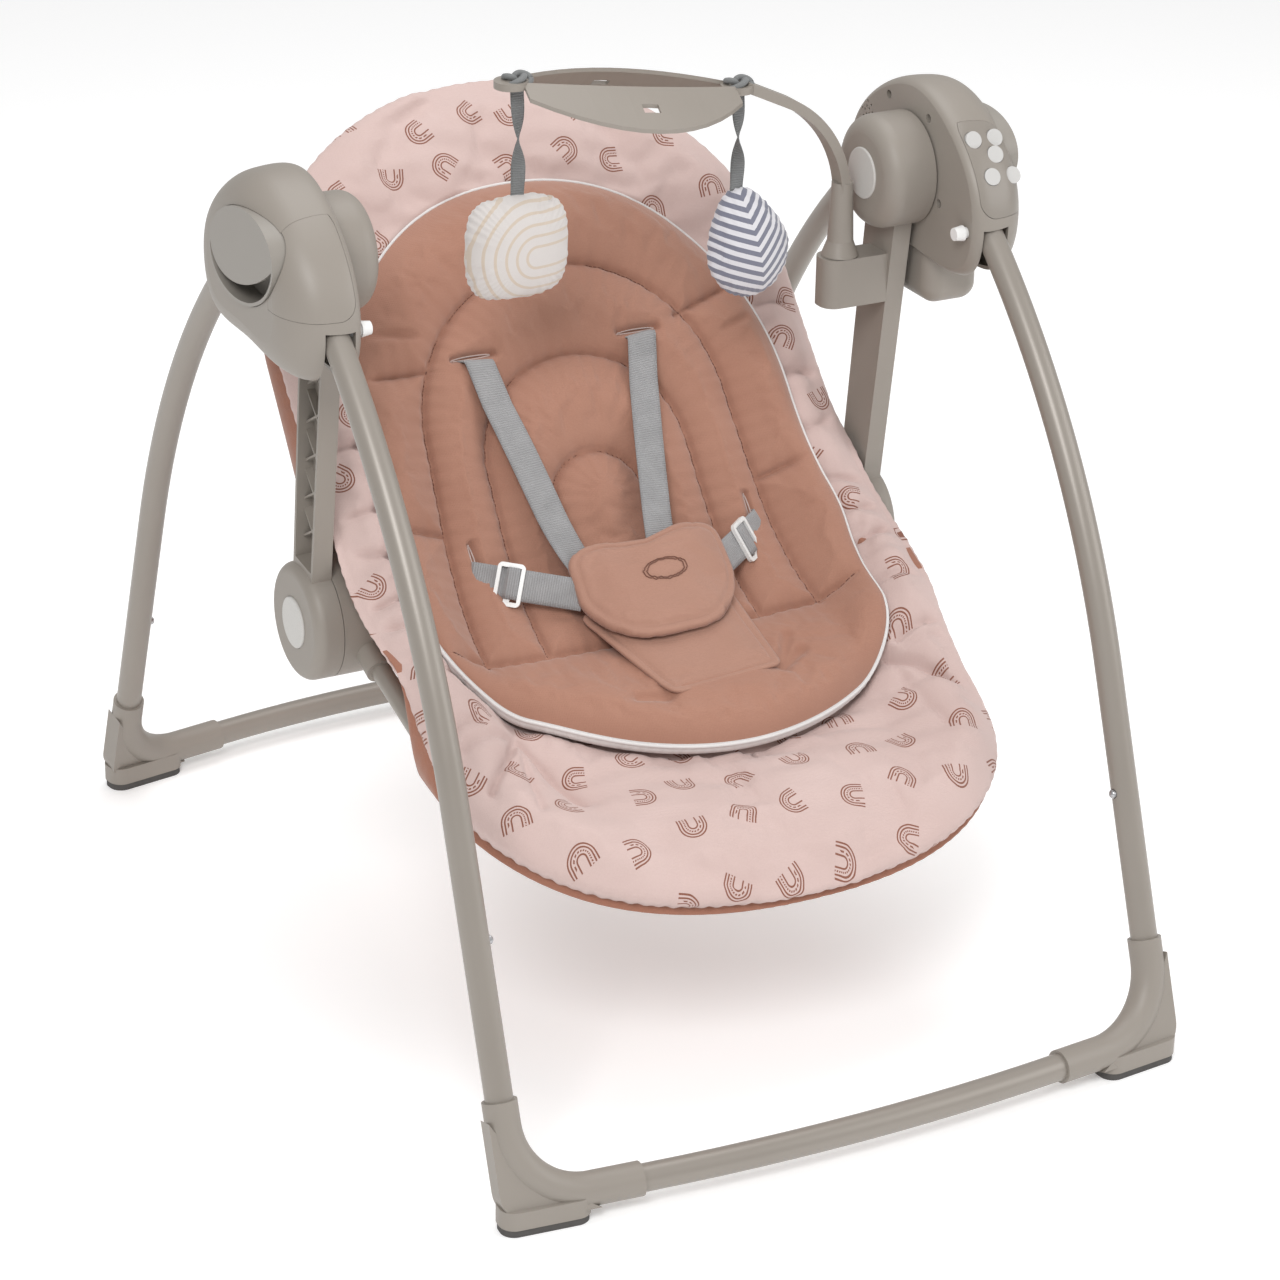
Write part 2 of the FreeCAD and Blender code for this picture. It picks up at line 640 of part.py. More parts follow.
def recline_button():
    """The light button in the outer face of a recline disc; it presses inwards."""
    disc = rod_x(CAP_R, DISC_OUT - 5.0, DISC_OUT + 1.5, *SEAT_PIVOT)
    edge = [e for e in disc.Edges if e.BoundBox.XMin > DISC_OUT]
    return disc.makeFillet(1.2, edge)


def pivot_shaft(end_x):
    """The steel shaft fixed in an arm's drum and turning in the hub's bush."""
    return rod_x(SHAFT_R, DRUM_IN + 8, end_x, 0, PIVOT_Z)


def pivot_bush():
    """The plain bearing pressed into the hub."""
    return rod_x(BUSH_R, HUB_IN, HUB_IN + 15.0, 0, PIVOT_Z).cut(
        rod_x(SHAFT_R + RUNNING, HUB_IN - 1, HUB_IN + 16.0, 0, PIVOT_Z))


# ---------------------------------------------------------------- leg knuckles
def leg_knuckle():
    """The plastic end of a front leg with its folding pin, inside the hub."""
    end = leg_path(-1, FRONT_SEAM_Z).OrderedEdges[-1]
    tip = end.valueAt(end.LastParameter)
    along = end.tangentAt(end.LastParameter)
    y, z = LEG_PIVOT
    eye = rod_x(12.0, LEG_X - 9.0, LEG_X + 9.0, y, z)
    plug_r = TUBE_R - TUBE_WALL
    plug = Part.makeCylinder(plug_r, 46.0, tip - along * 30.0, along)
    pin = rod_x(4.0, HUB_IN + HUB_WALL + 0.4, HUB_SPLIT - 0.5, y, z)
    collar = Part.makeCylinder(plug_r, 1.0, tip, along)
    return eye.fuse([plug, pin, collar]).removeSplitter()


# ---------------------------------------------------------------- seat
def seat_point(angle, s, offset, x):
    """A point at s along a seat plane from the recline axis, offset along its upward normal.

    A positive angle is the backrest, rising to the rear; a negative angle is the pan, falling to the
    front.
    """
    turn = math.radians(abs(angle))
    y0, z0 = SEAT_PIVOT
    if angle > 0:
        return Vector(x, y0 + s * math.cos(turn) - offset * math.sin(turn),
                      z0 + s * math.sin(turn) + offset * math.cos(turn))
    return Vector(x, y0 - s * math.cos(turn) - offset * math.sin(turn),
                  z0 - s * math.sin(turn) + offset * math.cos(turn))


def seat_tube_path(angle):
    """A U of seat tube that starts and ends in the two brackets."""
    start = 40.0
    end = BACK_TUBE_END if angle > 0 else PAN_TUBE_END
    corner_x = SEAT_TUBE_X - 12
    points = [seat_point(angle, start, 0, SEAT_TUBE_X), seat_point(angle, end, 0, corner_x),
              seat_point(angle, end, 0, -corner_x), seat_point(angle, start, 0, -SEAT_TUBE_X)]
    return rounded_path(points, [TUBE_SHOULDER, TUBE_SHOULDER])


def seat_bracket():
    """The inner recline housing, with the sockets of both seat tubes."""
    y0, z0 = SEAT_PIVOT
    disc = rod_x(DISC_R, 204.0, ARM_IN - 0.6, y0, z0)
    edge = [e for e in disc.Edges if e.BoundBox.XMax < 205 and e.BoundBox.DiagonalLength > 50]
    disc = disc.makeFillet(8.0, edge)
    spigot = rod_x(6.0 - RUNNING, ARM_IN - 2, DISC_OUT - 13.0, y0, z0)
    sockets = []
    for angle in (BACK_ANGLE, -PAN_ANGLE):
        a = seat_point(angle, 20.0, 0, SEAT_TUBE_X)
        b = seat_point(angle, 68.0, 0, SEAT_TUBE_X)
        sockets.append(Part.makeCylinder(SEAT_TUBE_R + 2.6, (b - a).Length, a, b - a))
    bracket = disc.fuse([spigot] + sockets)
    for angle in (BACK_ANGLE, -PAN_ANGLE):
        bracket = bracket.cut(sweep_round(seat_tube_path(angle), SEAT_TUBE_R))
    return bracket


def cross_section(angle, s, half, levels):
    """A closed polygon across the seat: a web between two side rolls.

    levels are the offsets of the rolls' underside, the web's underside, its top, and the rolls' top.
    """
    bottom, web, middle, roll = levels
    profile = [(-1.0, bottom + 6), (-0.95, bottom), (-0.86, bottom), (-0.76, web), (0.76, web),
               (0.86, bottom), (0.95, bottom), (1.0, bottom + 6), (1.0, roll - 6), (0.98, roll),
               (0.935, roll), (0.91, middle), (-0.91, middle), (-0.935, roll), (-0.98, roll),
               (-1.0, roll - 6)]
    points = [seat_point(angle, s, offset, x * half) for x, offset in profile]
    return Part.makePolygon(points + [points[0]])


def end_round(s, start, end, half, square=2.0):
    """Half width of a pad at s, rounded off from start to its end; a higher square has fuller corners."""
    if s <= start:
        return half
    t = (s - start) / (end - start)
    return half * max(0.0, 1.0 - t ** square) ** (1.0 / square)


def padded_loft(angle, stations):
    """A pad lofted through cross sections, each (s, half width, levels)."""
    wires = [cross_section(angle, s, half, levels) for s, half, levels in stations]
    return Part.makeLoft(wires, True, True)


def seat_cover_back():
    """The padded cover over the backrest tube."""
    end, start, half = 402.0, 205.0, 222.0
    levels = (COVER_UNDER, BACK_WEB_UNDER, BACK_COVER_TOP, 26.0)
    stations = [(34.0, INNER_HALF, levels), (70.0, INNER_HALF, levels)]
    for s in (86.0, 140.0, 205.0, 260.0, 310.0, 345.0, 372.0, 390.0, 398.0):
        stations.append((s, end_round(s, start, end, half), levels))
    pad = padded_loft(BACK_ANGLE, stations)
    return pad.cut(sweep_round(seat_tube_path(BACK_ANGLE), SEAT_TUBE_R + GAP))


def seat_cover_pan():
    """The padded cover over the seat tube, with its side rolls highest at the hips."""
    end, start, half = 362.0, 200.0, 222.0
    stations = []
    for s in (16.0, 70.0, 86.0, 120.0, 190.0, 235.0, 275.0, 310.0, 338.0, 352.0, 359.0):
        width = INNER_HALF if s < 80 else end_round(s, start, end, half, 2.3)
        roll = 12.0 + 22.0 * max(0.0, 1 - s / 300.0)
        stations.append((s, width, (COVER_UNDER, PAN_WEB_UNDER, PAN_COVER_TOP, roll)))
    pad = padded_loft(-PAN_ANGLE, stations)
    return pad.cut(sweep_round(seat_tube_path(-PAN_ANGLE), SEAT_TUBE_R + GAP))


def insert_section(angle, s, low, high, half, lean=0.0):
    """A flat closed polygon across the newborn insert; lean moves its top edge along the seat."""
    a = seat_point(angle, s, low, 0)
    b = seat_point(angle, s + lean, high, 0)
    side = Vector(half, 0, 0)
    edge = Vector(half - 6.0, 0, 0)
    third = (b - a) * 0.3
    points = [a - edge, a + edge, a + side + third, b + side - third, b + edge, b - edge,
              b - side - third, a - side + third]
    return Part.makePolygon(points + [points[0]])


def insert_cushion():
    """The newborn insert: one bent pad over the pan and the backrest."""
    low_pan, high_pan = PAN_COVER_TOP + GAP, PAN_COVER_TOP + GAP + INSERT_THICK - 4
    low_back, high_back = BACK_COVER_TOP + GAP, BACK_COVER_TOP + GAP + INSERT_THICK + 3
    wires = []
    for s in (208.0, 198.0, 175.0, 140.0, 95.0):
        half = end_round(s, 95.0, 216.0, 176.0)
        wires.append(insert_section(-PAN_ANGLE, s, low_pan, high_pan, half))
    wires.append(insert_section(-PAN_ANGLE, 36.0, low_pan, high_pan, 178.0, 14.0))
    for s in (50.0, 110.0, 170.0, 230.0, 275.0, 300.0, 310.0):
        half = end_round(s, 120.0, 318.0, 178.0)
        wires.append(insert_section(BACK_ANGLE, s, low_back, high_back, half))
    return Part.makeLoft(wires, True, True)


# ---------------------------------------------------------------- harness
def strap_between(a, b, wide, trim=0.0):
    """A flat strap from a to b, its width along the given direction."""
    run = b - a
    middle = (a + b) / 2
    across = wide - run * (wide.dot(run) / run.dot(run))
    return slab(middle, across, run, STRAP_WIDTH, run.Length - trim, STRAP_THICK)


def shoulder_strap():
    """The right shoulder strap, from its slot in the insert to the chest pad."""
    top = seat_point(BACK_ANGLE, 168.0, INSERT_BACK + 2.5, 76.0)
    low = seat_point(BACK_ANGLE, CHEST_S[1] + 5.0, CHEST_OFFSET, 36.0)
    return strap_between(top, low, Vector(1, 0, 0))


def waist_ends():
    """The two ends of the right waist strap: its slot in the insert, and the chest pad's side."""
    outer = seat_point(BACK_ANGLE, -2.0, INSERT_BACK + 4.0, 128.0)
    inner = seat_point(BACK_ANGLE, -33.0, CHEST_OFFSET, 70.0)
    return outer, inner


def waist_strap():
    """The right waist strap."""
    outer, inner = waist_ends()
    return strap_between(outer, inner, seat_point(BACK_ANGLE, 1, 0, 0) - seat_point(BACK_ANGLE, 0, 0, 0))


def tri_glide():
    """The slider on the right waist strap: a frame with a middle bar, lying on the strap."""
    outer, inner = waist_ends()
    run = inner - outer
    wide = seat_point(BACK_ANGLE, 1, 0, 0) - seat_point(BACK_ANGLE, 0, 0, 0)
    across = (wide - run * (wide.dot(run) / run.dot(run))).normalize()
    normal = across.cross(run).normalize()
    if normal.z < 0:
        normal = normal * -1
    centre = outer + run * 0.42 + normal * (STRAP_THICK / 2 + 1.9)
    frame = slab(centre, across, run, 34.0, 22.0, 3.0, 4.0)
    for shift in (-5.2, 5.2):
        middle = centre + run.normalize() * shift
        frame = frame.cut(slab(middle, across, run, 27.0, 5.6, 8.0))
    return frame


def chest_pad():
    """The padded tongue that the straps meet in, over the child's waist."""
    s = sum(CHEST_S) / 2
    centre = seat_point(BACK_ANGLE, s, CHEST_OFFSET, 0)
    along = seat_point(BACK_ANGLE, 1, 0, 0) - seat_point(BACK_ANGLE, 0, 0, 0)
    return slab(centre, Vector(1, 0, 0), along, 130.0, CHEST_S[1] - CHEST_S[0], 12.0, 20.0)


def crotch_pad():
    """The flap between the legs, lying on the insert's seat."""
    centre = seat_point(-PAN_ANGLE, 118.0, INSERT_PAN + GAP + 3.0, 0)
    along = seat_point(-PAN_ANGLE, 1, 0, 0) - seat_point(-PAN_ANGLE, 0, 0, 0)
    return slab(centre, Vector(1, 0, 0), along, 88.0, 112.0, 5.6, 14.0)


# ---------------------------------------------------------------- toy bar
def toy_bar_clip():
    """The D-shaped clip on the inside of the right arm that carries the toy bar's post."""
    x0, x1, y0, y1, z0, z1 = 182.0, ARM_IN, -9.0, 19.0, 500.0, 540.0
    block = box((x0, y0, z0), (x1, y1, z1))
    upright = [e for e in block.Edges if abs(e.tangentAt(0).z) > 0.9 and e.BoundBox.XMax < x0 + 1]
    block = block.makeFillet(12.0, upright)
    return block.cut(Part.makeCylinder(8.0 + RUNNING, 34.0, Vector(STEM_X, STEM_Y, 508.0)))


def toy_bar_post():
    """The post, its collar and the curved strip up to the toy ring."""
    peg = Part.makeCylinder(8.0, 32.0, Vector(STEM_X, STEM_Y, 508.5))
    collar = Part.makeCone(15.0, 10.5, 12.0, Vector(STEM_X, STEM_Y, 540.5))
    post = Part.makeCone(10.5, 8.5, 48.0, Vector(STEM_X, STEM_Y, 552.5))
    path = rounded_path([(STEM_X, STEM_Y, 592.0), (STEM_X - 6, STEM_Y, 650.0), (108.0, STEM_Y, 690.0)],
                        [95.0])
    start = Vector(STEM_X, STEM_Y, 592.0)
    strip_face = Part.makePolygon([start + Vector(-4, -8, 0), start + Vector(4, -8, 0),
                                   start + Vector(4, 8, 0), start + Vector(-4, 8, 0),
                                   start + Vector(-4, -8, 0)])
    strip = path.makePipeShell([strip_face], True, False)
    return peg.fuse([collar, post, strip])


def ring_point(along, across, drop):
    """A point on the toy ring: along its axis from its right tip, across it, and below its ridge."""
    rise = math.radians(RING_RISE)
    x, z = RING_START
    return Vector(x - along * math.cos(rise), STEM_Y + across, z + along * math.sin(rise) - drop)


def ring_strip(side):
    """One crescent strip of the ring, sloping outwards and down."""
    sections = []
    steps = 14
    for i in range(1, steps):
        t = i / steps
        swell = 1.0 - (2 * t - 1) ** 2
        inner = 1.0 + 26.0 * swell
        outer = inner + 6.0 + 24.0 * swell
        low = 3.0 + 17.0 * swell
        high = -5.0 * swell
        corners = [(inner, high), (outer, low), (outer, low + 3.2), (inner, high + 3.2)]
        points = [ring_point(RING_LENGTH * t, side * a, d) for a, d in corners]
        sections.append(Part.makePolygon(points + [points[0]]))
    return Part.makeLoft(sections, True, True)


def toy_ring():
    """The eye-shaped ring of the toy bar, with a round eye at each tip."""
    tips = []
    for along in (9.0, RING_LENGTH - 9.0):
        centre = ring_point(along, 0, 2.0)
        tips.append(Part.makeCylinder(13.0, 5.5, centre - Vector(0, 0, 2.5)))
    ring = ring_strip(1).fuse([ring_strip(-1)] + tips)
    for side in (-1, 1):
        middle = ring_point(RING_LENGTH / 2, side * 42.0, 8.0)
        ring = ring.cut(box((middle.x - 7, middle.y - 3, middle.z - 20),
                            (middle.x + 7, middle.y + 3, middle.z + 20)))
    return ring.cut(toy_bar_post())


def toy_hang(along):
    """Where a toy's strap starts, under the ring's tip."""
    return ring_point(along, 0, 2.0) - Vector(0, 0, 2.5 + TOY_CLEAR)


def toy_strap(along, length):
    """The flat strap of one toy, with the round loop that it hangs by."""
    top = toy_hang(along)
    strap = box((top.x - 5, top.y - 0.7, top.z - length), (top.x + 5, top.y + 0.7, top.z - TOY_LOOP_R))
    return strap.fuse(rod_x(TOY_LOOP_R, top.x - 6, top.x + 6, top.y, top.z - TOY_LOOP_R))


def round_toy():
    """The rounded square plush on its strap, at the ring's left end."""
    along, drop, size = RING_LENGTH - 14.0, 84.0, 80.0
    top = toy_hang(along)
    body = slab(top - Vector(0, 0, drop + size / 2 - 1), Vector(1, 0, 0), Vector(0, 0, 1), size, size, 36.0,
                30.0)
    rims = [e for e in body.Edges if abs(e.BoundBox.YMax - e.BoundBox.YMin) < 0.01]
    return body.makeFillet(14.0, rims).fuse(toy_strap(along, drop))


def drop_toy():
    """The drop-shaped plush on its strap, at the ring's right end."""
    along, drop = 8.0, 78.0
    top = toy_hang(along)
    head = Vector(top.x, top.y, top.z - drop)
    low = head - Vector(0, 0, 56.0)
    body = Part.makeCone(7.0, 34.0, 46.0, head, Vector(0, 0, -1)).fuse(
        Part.makeSphere(35.5, low))
    squeeze = FreeCAD.Matrix()
    squeeze.move(-top)
    squeeze.scale(1.0, 0.52, 1.0)
    squeeze.move(top)
    return body.transformGeometry(squeeze).fuse(toy_strap(along, drop + 4))


# ---------------------------------------------------------------- build
def build_stand():
    """Hubs, rear frame, electrics and buttons."""
    shell = hub_shell()
    for side, mirror in (("right", False), ("left", True)):
        put = mirrored if mirror else (lambda shape: shape)
        depth = 22.0 if mirror else 11.0
        save("hub_inner_cover_" + side, put(hub_cover(shell, HUB_IN - 5, HUB_SPLIT, depth, not mirror)))
        save("hub_outer_cover_" + side, put(hub_cover(shell, HUB_SPLIT, HUB_OUT + 5, depth)))
        save("grip_panel_" + side, put(grip_panel(depth)))
        save("leg_release_" + side, put(release_button()))
        save("rear_leg_" + side, put(upper_leg(1, REAR_SEAM_Z)))
        save("front_leg_" + side, put(upper_leg(-1, FRONT_SEAM_Z)))
        save("rear_snap_pin_" + side, put(snap_pin(1, REAR_SEAM_Z)))
        save("front_snap_pin_" + side, put(snap_pin(-1, FRONT_SEAM_Z)))
    save("control_panel", hub_panel(shell, True))
    save("front_trim", mirrored(hub_panel(shell, False)))
    for name in BUTTON_SPOTS:
        save(name, panel_button(name))
    screws = [hub_screw(y, z) for y, z in SCREW_SPOTS]
    save("hub_screws", *(screws + [mirrored(screw) for screw in screws]))
    save("pivot_bushes", pivot_bush(), mirrored(pivot_bush()))
    save("battery_case", battery_case())
    save("battery_door", battery_door_block(0.0))
    save("batteries", *batteries())
    save("circuit_board", circuit_board())
    save("speaker", speaker())
    save("drive_coil", drive_coil())


def build_frames():
    """Floor tubes, feet and knuckles."""
    save("rear_floor_tube", floor_tube(1, REAR_BOW, REAR_SEAM_Z))
    save("front_floor_tube", floor_tube(-1, FRONT_BOW, FRONT_SEAM_Z))
    save("rear_feet", foot(1, REAR_BOW), mirrored(foot(1, REAR_BOW)))
    save("front_feet", foot(-1, FRONT_BOW), mirrored(foot(-1, FRONT_BOW)))
    save("rear_foot_pads", foot_pad(1, REAR_BOW), mirrored(foot_pad(1, REAR_BOW)))
    save("front_foot_pads", foot_pad(-1, FRONT_BOW), mirrored(foot_pad(-1, FRONT_BOW)))
    save("leg_knuckles", leg_knuckle(), mirrored(leg_knuckle()))


def build_swing():
    """Arms, shafts, drive, recline buttons and toy bar."""
    arm = swing_arm()
    save("swing_arm_right", arm)
    save("swing_arm_left", mirrored(arm))
    save("arm_caps", arm_cap(), mirrored(arm_cap()))
    save("pivot_shafts", pivot_shaft(287.0), mirrored(pivot_shaft(280.0)))
    save("drive_lever", drive_lever(), drive_magnet())
    save("recline_button_right", recline_button())
    save("recline_button_left", mirrored(recline_button()))
    save("toy_bar_clip", toy_bar_clip())
    save("toy_bar_post", toy_bar_post())
    save("toy_ring", toy_ring())
    save("round_toy", round_toy())
    save("drop_toy", drop_toy())


def build_seat():
    """Brackets, tubes, cover, insert and harness."""
    save("seat_brackets", seat_bracket(), mirrored(seat_bracket()))
    save("back_tube", tube(seat_tube_path(BACK_ANGLE), SEAT_TUBE_R, TUBE_WALL))
    save("pan_tube", tube(seat_tube_path(-PAN_ANGLE), SEAT_TUBE_R, TUBE_WALL))
    save("seat_cover_back", seat_cover_back())
    save("seat_cover_pan", seat_cover_pan())
    save("insert_cushion", insert_cushion())
    straps = [shoulder_strap(), waist_strap()]
    save("harness_straps", *(straps + [mirrored(strap) for strap in straps]))
    save("tri_glides", tri_glide(), mirrored(tri_glide()))
    save("chest_pad", chest_pad())
    save("crotch_pad", crotch_pad())


build_stand()
build_frames()
build_swing()
build_seat()
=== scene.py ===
import json
import math

import bpy
import numpy as np
from mathutils import Matrix, Vector, kdtree


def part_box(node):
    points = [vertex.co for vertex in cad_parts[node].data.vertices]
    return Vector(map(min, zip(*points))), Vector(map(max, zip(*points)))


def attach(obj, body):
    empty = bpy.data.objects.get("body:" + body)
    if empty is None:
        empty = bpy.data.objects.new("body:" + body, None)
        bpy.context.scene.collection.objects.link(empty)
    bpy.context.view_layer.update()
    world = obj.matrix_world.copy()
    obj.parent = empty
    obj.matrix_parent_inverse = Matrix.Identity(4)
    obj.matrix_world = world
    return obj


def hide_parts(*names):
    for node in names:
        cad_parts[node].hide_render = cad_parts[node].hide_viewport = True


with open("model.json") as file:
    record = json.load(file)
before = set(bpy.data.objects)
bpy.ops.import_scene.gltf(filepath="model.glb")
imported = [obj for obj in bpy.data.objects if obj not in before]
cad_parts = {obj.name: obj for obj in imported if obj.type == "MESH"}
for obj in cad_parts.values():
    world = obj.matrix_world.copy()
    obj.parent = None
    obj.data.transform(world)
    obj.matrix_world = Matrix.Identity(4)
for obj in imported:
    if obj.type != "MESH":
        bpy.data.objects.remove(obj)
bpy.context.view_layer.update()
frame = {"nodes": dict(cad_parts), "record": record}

# Flat patterns and offsets are in millimetres; everything that Blender holds is in metres.
MM = 0.001
PAN_ANGLE = math.radians(20.6)      # slope of the seat and of the backrest
BACK_ANGLE = math.radians(54.0)
PAN_LIFT = 26.0                     # offsets of the insert's middle surface from the two seat planes
BACK_LIFT = 50.0
CREASE_RADIUS = 200.0
COVER_DROP = -26.0                  # cover's top below the insert's middle surface

joints = {joint["name"]: joint for joint in frame["record"]["behaviour"]["joints"]}
RECLINE = Vector(joints["seat_recline"]["pos_m"])


# ------------------------------------------------------------------ the bent seat surface
PAN_DIR = np.array([math.cos(PAN_ANGLE), math.sin(PAN_ANGLE)])     # y, z; towards the rear
PAN_UP = np.array([-math.sin(PAN_ANGLE), math.cos(PAN_ANGLE)])
BACK_DIR = np.array([math.cos(BACK_ANGLE), math.sin(BACK_ANGLE)])
BACK_UP = np.array([-math.sin(BACK_ANGLE), math.cos(BACK_ANGLE)])
HALF_TURN = (BACK_ANGLE - PAN_ANGLE) / 2
HALF_ARC = CREASE_RADIUS * HALF_TURN


def crease_centre():
    """The centre of the arc that joins the two planes, in mm as (y, z)."""
    pivot = np.array([RECLINE.y, RECLINE.z]) / MM
    on_pan = pivot + PAN_UP * (PAN_LIFT + CREASE_RADIUS)
    on_back = pivot + BACK_UP * (BACK_LIFT + CREASE_RADIUS)
    system = np.array([PAN_DIR, -BACK_DIR]).T
    along = np.linalg.solve(system, on_back - on_pan)[0]
    return on_pan + PAN_DIR * along


ARC_CENTRE = crease_centre()


def seat_surface(x, l, off):
    """Points of the bent seat, in metres: l runs up the seat from the crease, off is along its normal."""
    x, l, off = np.broadcast_arrays(np.asarray(x, float), l, off)
    angle = np.clip(l, -HALF_ARC, HALF_ARC) / CREASE_RADIUS + (PAN_ANGLE + BACK_ANGLE) / 2
    run = l - np.clip(l, -HALF_ARC, HALF_ARC)
    up_y, up_z = -np.sin(angle), np.cos(angle)
    y = ARC_CENTRE[0] - CREASE_RADIUS * up_y + run * np.cos(angle) + off * up_y
    z = ARC_CENTRE[1] - CREASE_RADIUS * up_z + run * np.sin(angle) + off * up_z
    return np.stack([x, y, z], axis=-1) * MM


def waves(x, l, size, seed, count=7):
    """Smooth noise from -1 to 1 made of sine waves about size mm long."""
    rng = np.random.RandomState(seed)
    total = np.zeros(np.broadcast(x, l).shape)
    for _ in range(count):
        angle = rng.uniform(0, math.pi)
        length = size * rng.uniform(0.7, 1.6)
        phase = rng.uniform(0, 2 * math.pi)
        total = total + np.sin(2 * math.pi * (x * math.cos(angle) + l * math.sin(angle)) / length + phase)
    return total / count * 1.6


def smoothstep(low, high, value):
    t = np.clip((value - low) / (high - low), 0, 1)
    return t * t * (3 - 2 * t)


def to_line(x, l, line):
    """Distance from each flat point to a polyline, and how far along it the nearest point lies."""
    best = np.full(x.shape, 1e9)
    along = np.zeros(x.shape)
    run = 0.0
    for (x0, l0), (x1, l1) in zip(line[:-1], line[1:]):
        dx, dl = x1 - x0, l1 - l0
        length = math.hypot(dx, dl)
        if length < 1e-9:
            continue
        t = np.clip(((x - x0) * dx + (l - l0) * dl) / length ** 2, 0, 1)
        distance = np.hypot(x - x0 - t * dx, l - l0 - t * dl)
        nearer = distance < best
        best = np.where(nearer, distance, best)
        along = np.where(nearer, run + t * length, along)
        run += length
    return best, along


# ------------------------------------------------------------------ outlines and height fields
def round_end(t, power):
    """Share of the full half width at t, from 0 where the end starts to 1 at its tip."""
    return max(0.0, 1 - t ** power) ** (1 / power)


def outline(half_width, low, high, count):
    """A closed, evenly spaced flat outline of a shape symmetric about x = 0."""
    steps = [low + (high - low) * (0.5 - 0.5 * math.cos(math.pi * i / 1600)) for i in range(1601)]
    right = [(half_width(l), l) for l in steps]
    loop = np.array(right + [(-x, l) for x, l in reversed(right[1:-1])] + [right[0]])
    gaps = np.hypot(*np.diff(loop, axis=0).T)
    run = np.concatenate([[0], np.cumsum(gaps)])
    wanted = np.linspace(0, run[-1], count, endpoint=False)
    return np.stack([np.interp(wanted, run, loop[:, 0]), np.interp(wanted, run, loop[:, 1])], axis=1)


COVER_LOW, COVER_HIGH = -314.0, 429.0       # where each shape ends, along the seat
INSERT_LOW, INSERT_HIGH = -178.0, 338.0
COVER_WIDE = 222.0                          # half widths of the straight parts
INSERT_WIDE = 184.0
COVER_ROUND_LOW, COVER_ROUND_HIGH = -147, 232       # where the rounded ends start
INSERT_ROUND_LOW, INSERT_ROUND_HIGH = -40, 130


def cover_half(l):
    """Half width of the pink cover."""
    hips = 7.0 * math.exp(-(l / 90.0) ** 2)
    if l > COVER_ROUND_HIGH:
        return COVER_WIDE * round_end((l - COVER_ROUND_HIGH) / (COVER_HIGH - COVER_ROUND_HIGH), 2.05)
    if l < COVER_ROUND_LOW:
        return COVER_WIDE * round_end((COVER_ROUND_LOW - l) / (COVER_ROUND_LOW - COVER_LOW), 2.3)
    return COVER_WIDE + hips


def insert_half(l):
    """Half width of the newborn insert."""
    side = INSERT_WIDE + 7.0 * math.exp(-((l - 25) / 48.0) ** 2)
    if l > INSERT_ROUND_HIGH:
        return side * round_end((l - INSERT_ROUND_HIGH) / (INSERT_HIGH - INSERT_ROUND_HIGH), 2.2)
    if l < INSERT_ROUND_LOW:
        return side * round_end((INSERT_ROUND_LOW - l) / (INSERT_ROUND_LOW - INSERT_LOW), 1.9)
    return side


def cover_lean(l):
    """How far the cover's soft front hangs to the right."""
    return 14.0 * smoothstep(-100, -260, l)


def insert_lean(l):
    """How far the insert's loose front lies to the right."""
    return 27.0 * smoothstep(-40, -150, l)


def edge_distance(x, l, loop):
    """Distance from each flat point to a closed outline."""
    return to_line(x, l, [tuple(p) for p in loop] + [tuple(loop[0])])[0]


def loop_normals(loop):
    """Outward unit normals of a closed flat outline."""
    normal = np.roll(loop, -1, axis=0) - np.roll(loop, 1, axis=0)
    normal = np.stack([normal[:, 1], -normal[:, 0]], axis=1)
    return normal / np.hypot(*normal.T)[:, None]


def squared(value, power):
    """A sine or cosine bent by a power, sign kept, so that a circle turns into a rounded square."""
    return math.copysign(abs(value) ** power, value)


def leaned(loop, lean):
    """An outline pushed sideways by a lean that depends on l."""
    return np.stack([loop[:, 0] + lean(loop[:, 1]), loop[:, 1]], axis=1)


RIM_RUN = [-310, -250, -190, -155, -110, -87, -30, 15, 56, 120, 200, 300, 430]
RIM_RISE = [-6, -4, 0, 8, 26, 33, 32, 24, 14, 4, -4, -12, -16]


def cover_top(x, l):
    """Offset of the cover's upper face, before its rim rolls over."""
    half = np.interp(l, COVER_STEPS, COVER_WIDTHS)
    rim = np.interp(l, RIM_RUN, RIM_RISE)
    share = smoothstep(0.60, 0.96, np.abs(x - cover_lean(l)) / np.maximum(half, 60.0))
    front = 14.0 * smoothstep(-175, -240, l)
    return COVER_DROP + front + np.maximum(rim - COVER_DROP - front, 0) * share


COVER_STEPS = np.linspace(COVER_LOW, COVER_HIGH, 300)
COVER_WIDTHS = np.array([cover_half(l) for l in COVER_STEPS])


def cover_under(x, l):
    """Offset of the cover's lower face: it wraps the tubes, sags between them and clears the housings."""
    half = np.interp(l, COVER_STEPS, COVER_WIDTHS)
    plane = -PAN_LIFT + (PAN_LIFT - BACK_LIFT) * smoothstep(-60, 60, l)
    web = -11.0 + 15.0 * smoothstep(-20, 80, l)
    share = smoothstep(0.72, 0.90, np.abs(x - cover_lean(l)) / np.maximum(half, 60.0))
    share = np.maximum(share, smoothstep(352, 392, l))
    low = plane + web + (-11.5 - web) * share
    lift = smoothstep(118, 62, np.abs(l)) * smoothstep(180, 198, np.abs(x))
    return low + (plane + 53.0 - low) * lift


# ------------------------------------------------------------------ meshes
def new_mesh(name, points, faces, smooth=True):
    mesh = bpy.data.meshes.new(name)
    mesh.from_pydata([tuple(p) for p in points], [], faces)
    mesh.validate()
    mesh.polygons.foreach_set("use_smooth", [smooth] * len(mesh.polygons))
    thing = bpy.data.objects.new(name, mesh)
    bpy.context.scene.collection.objects.link(thing)
    return thing


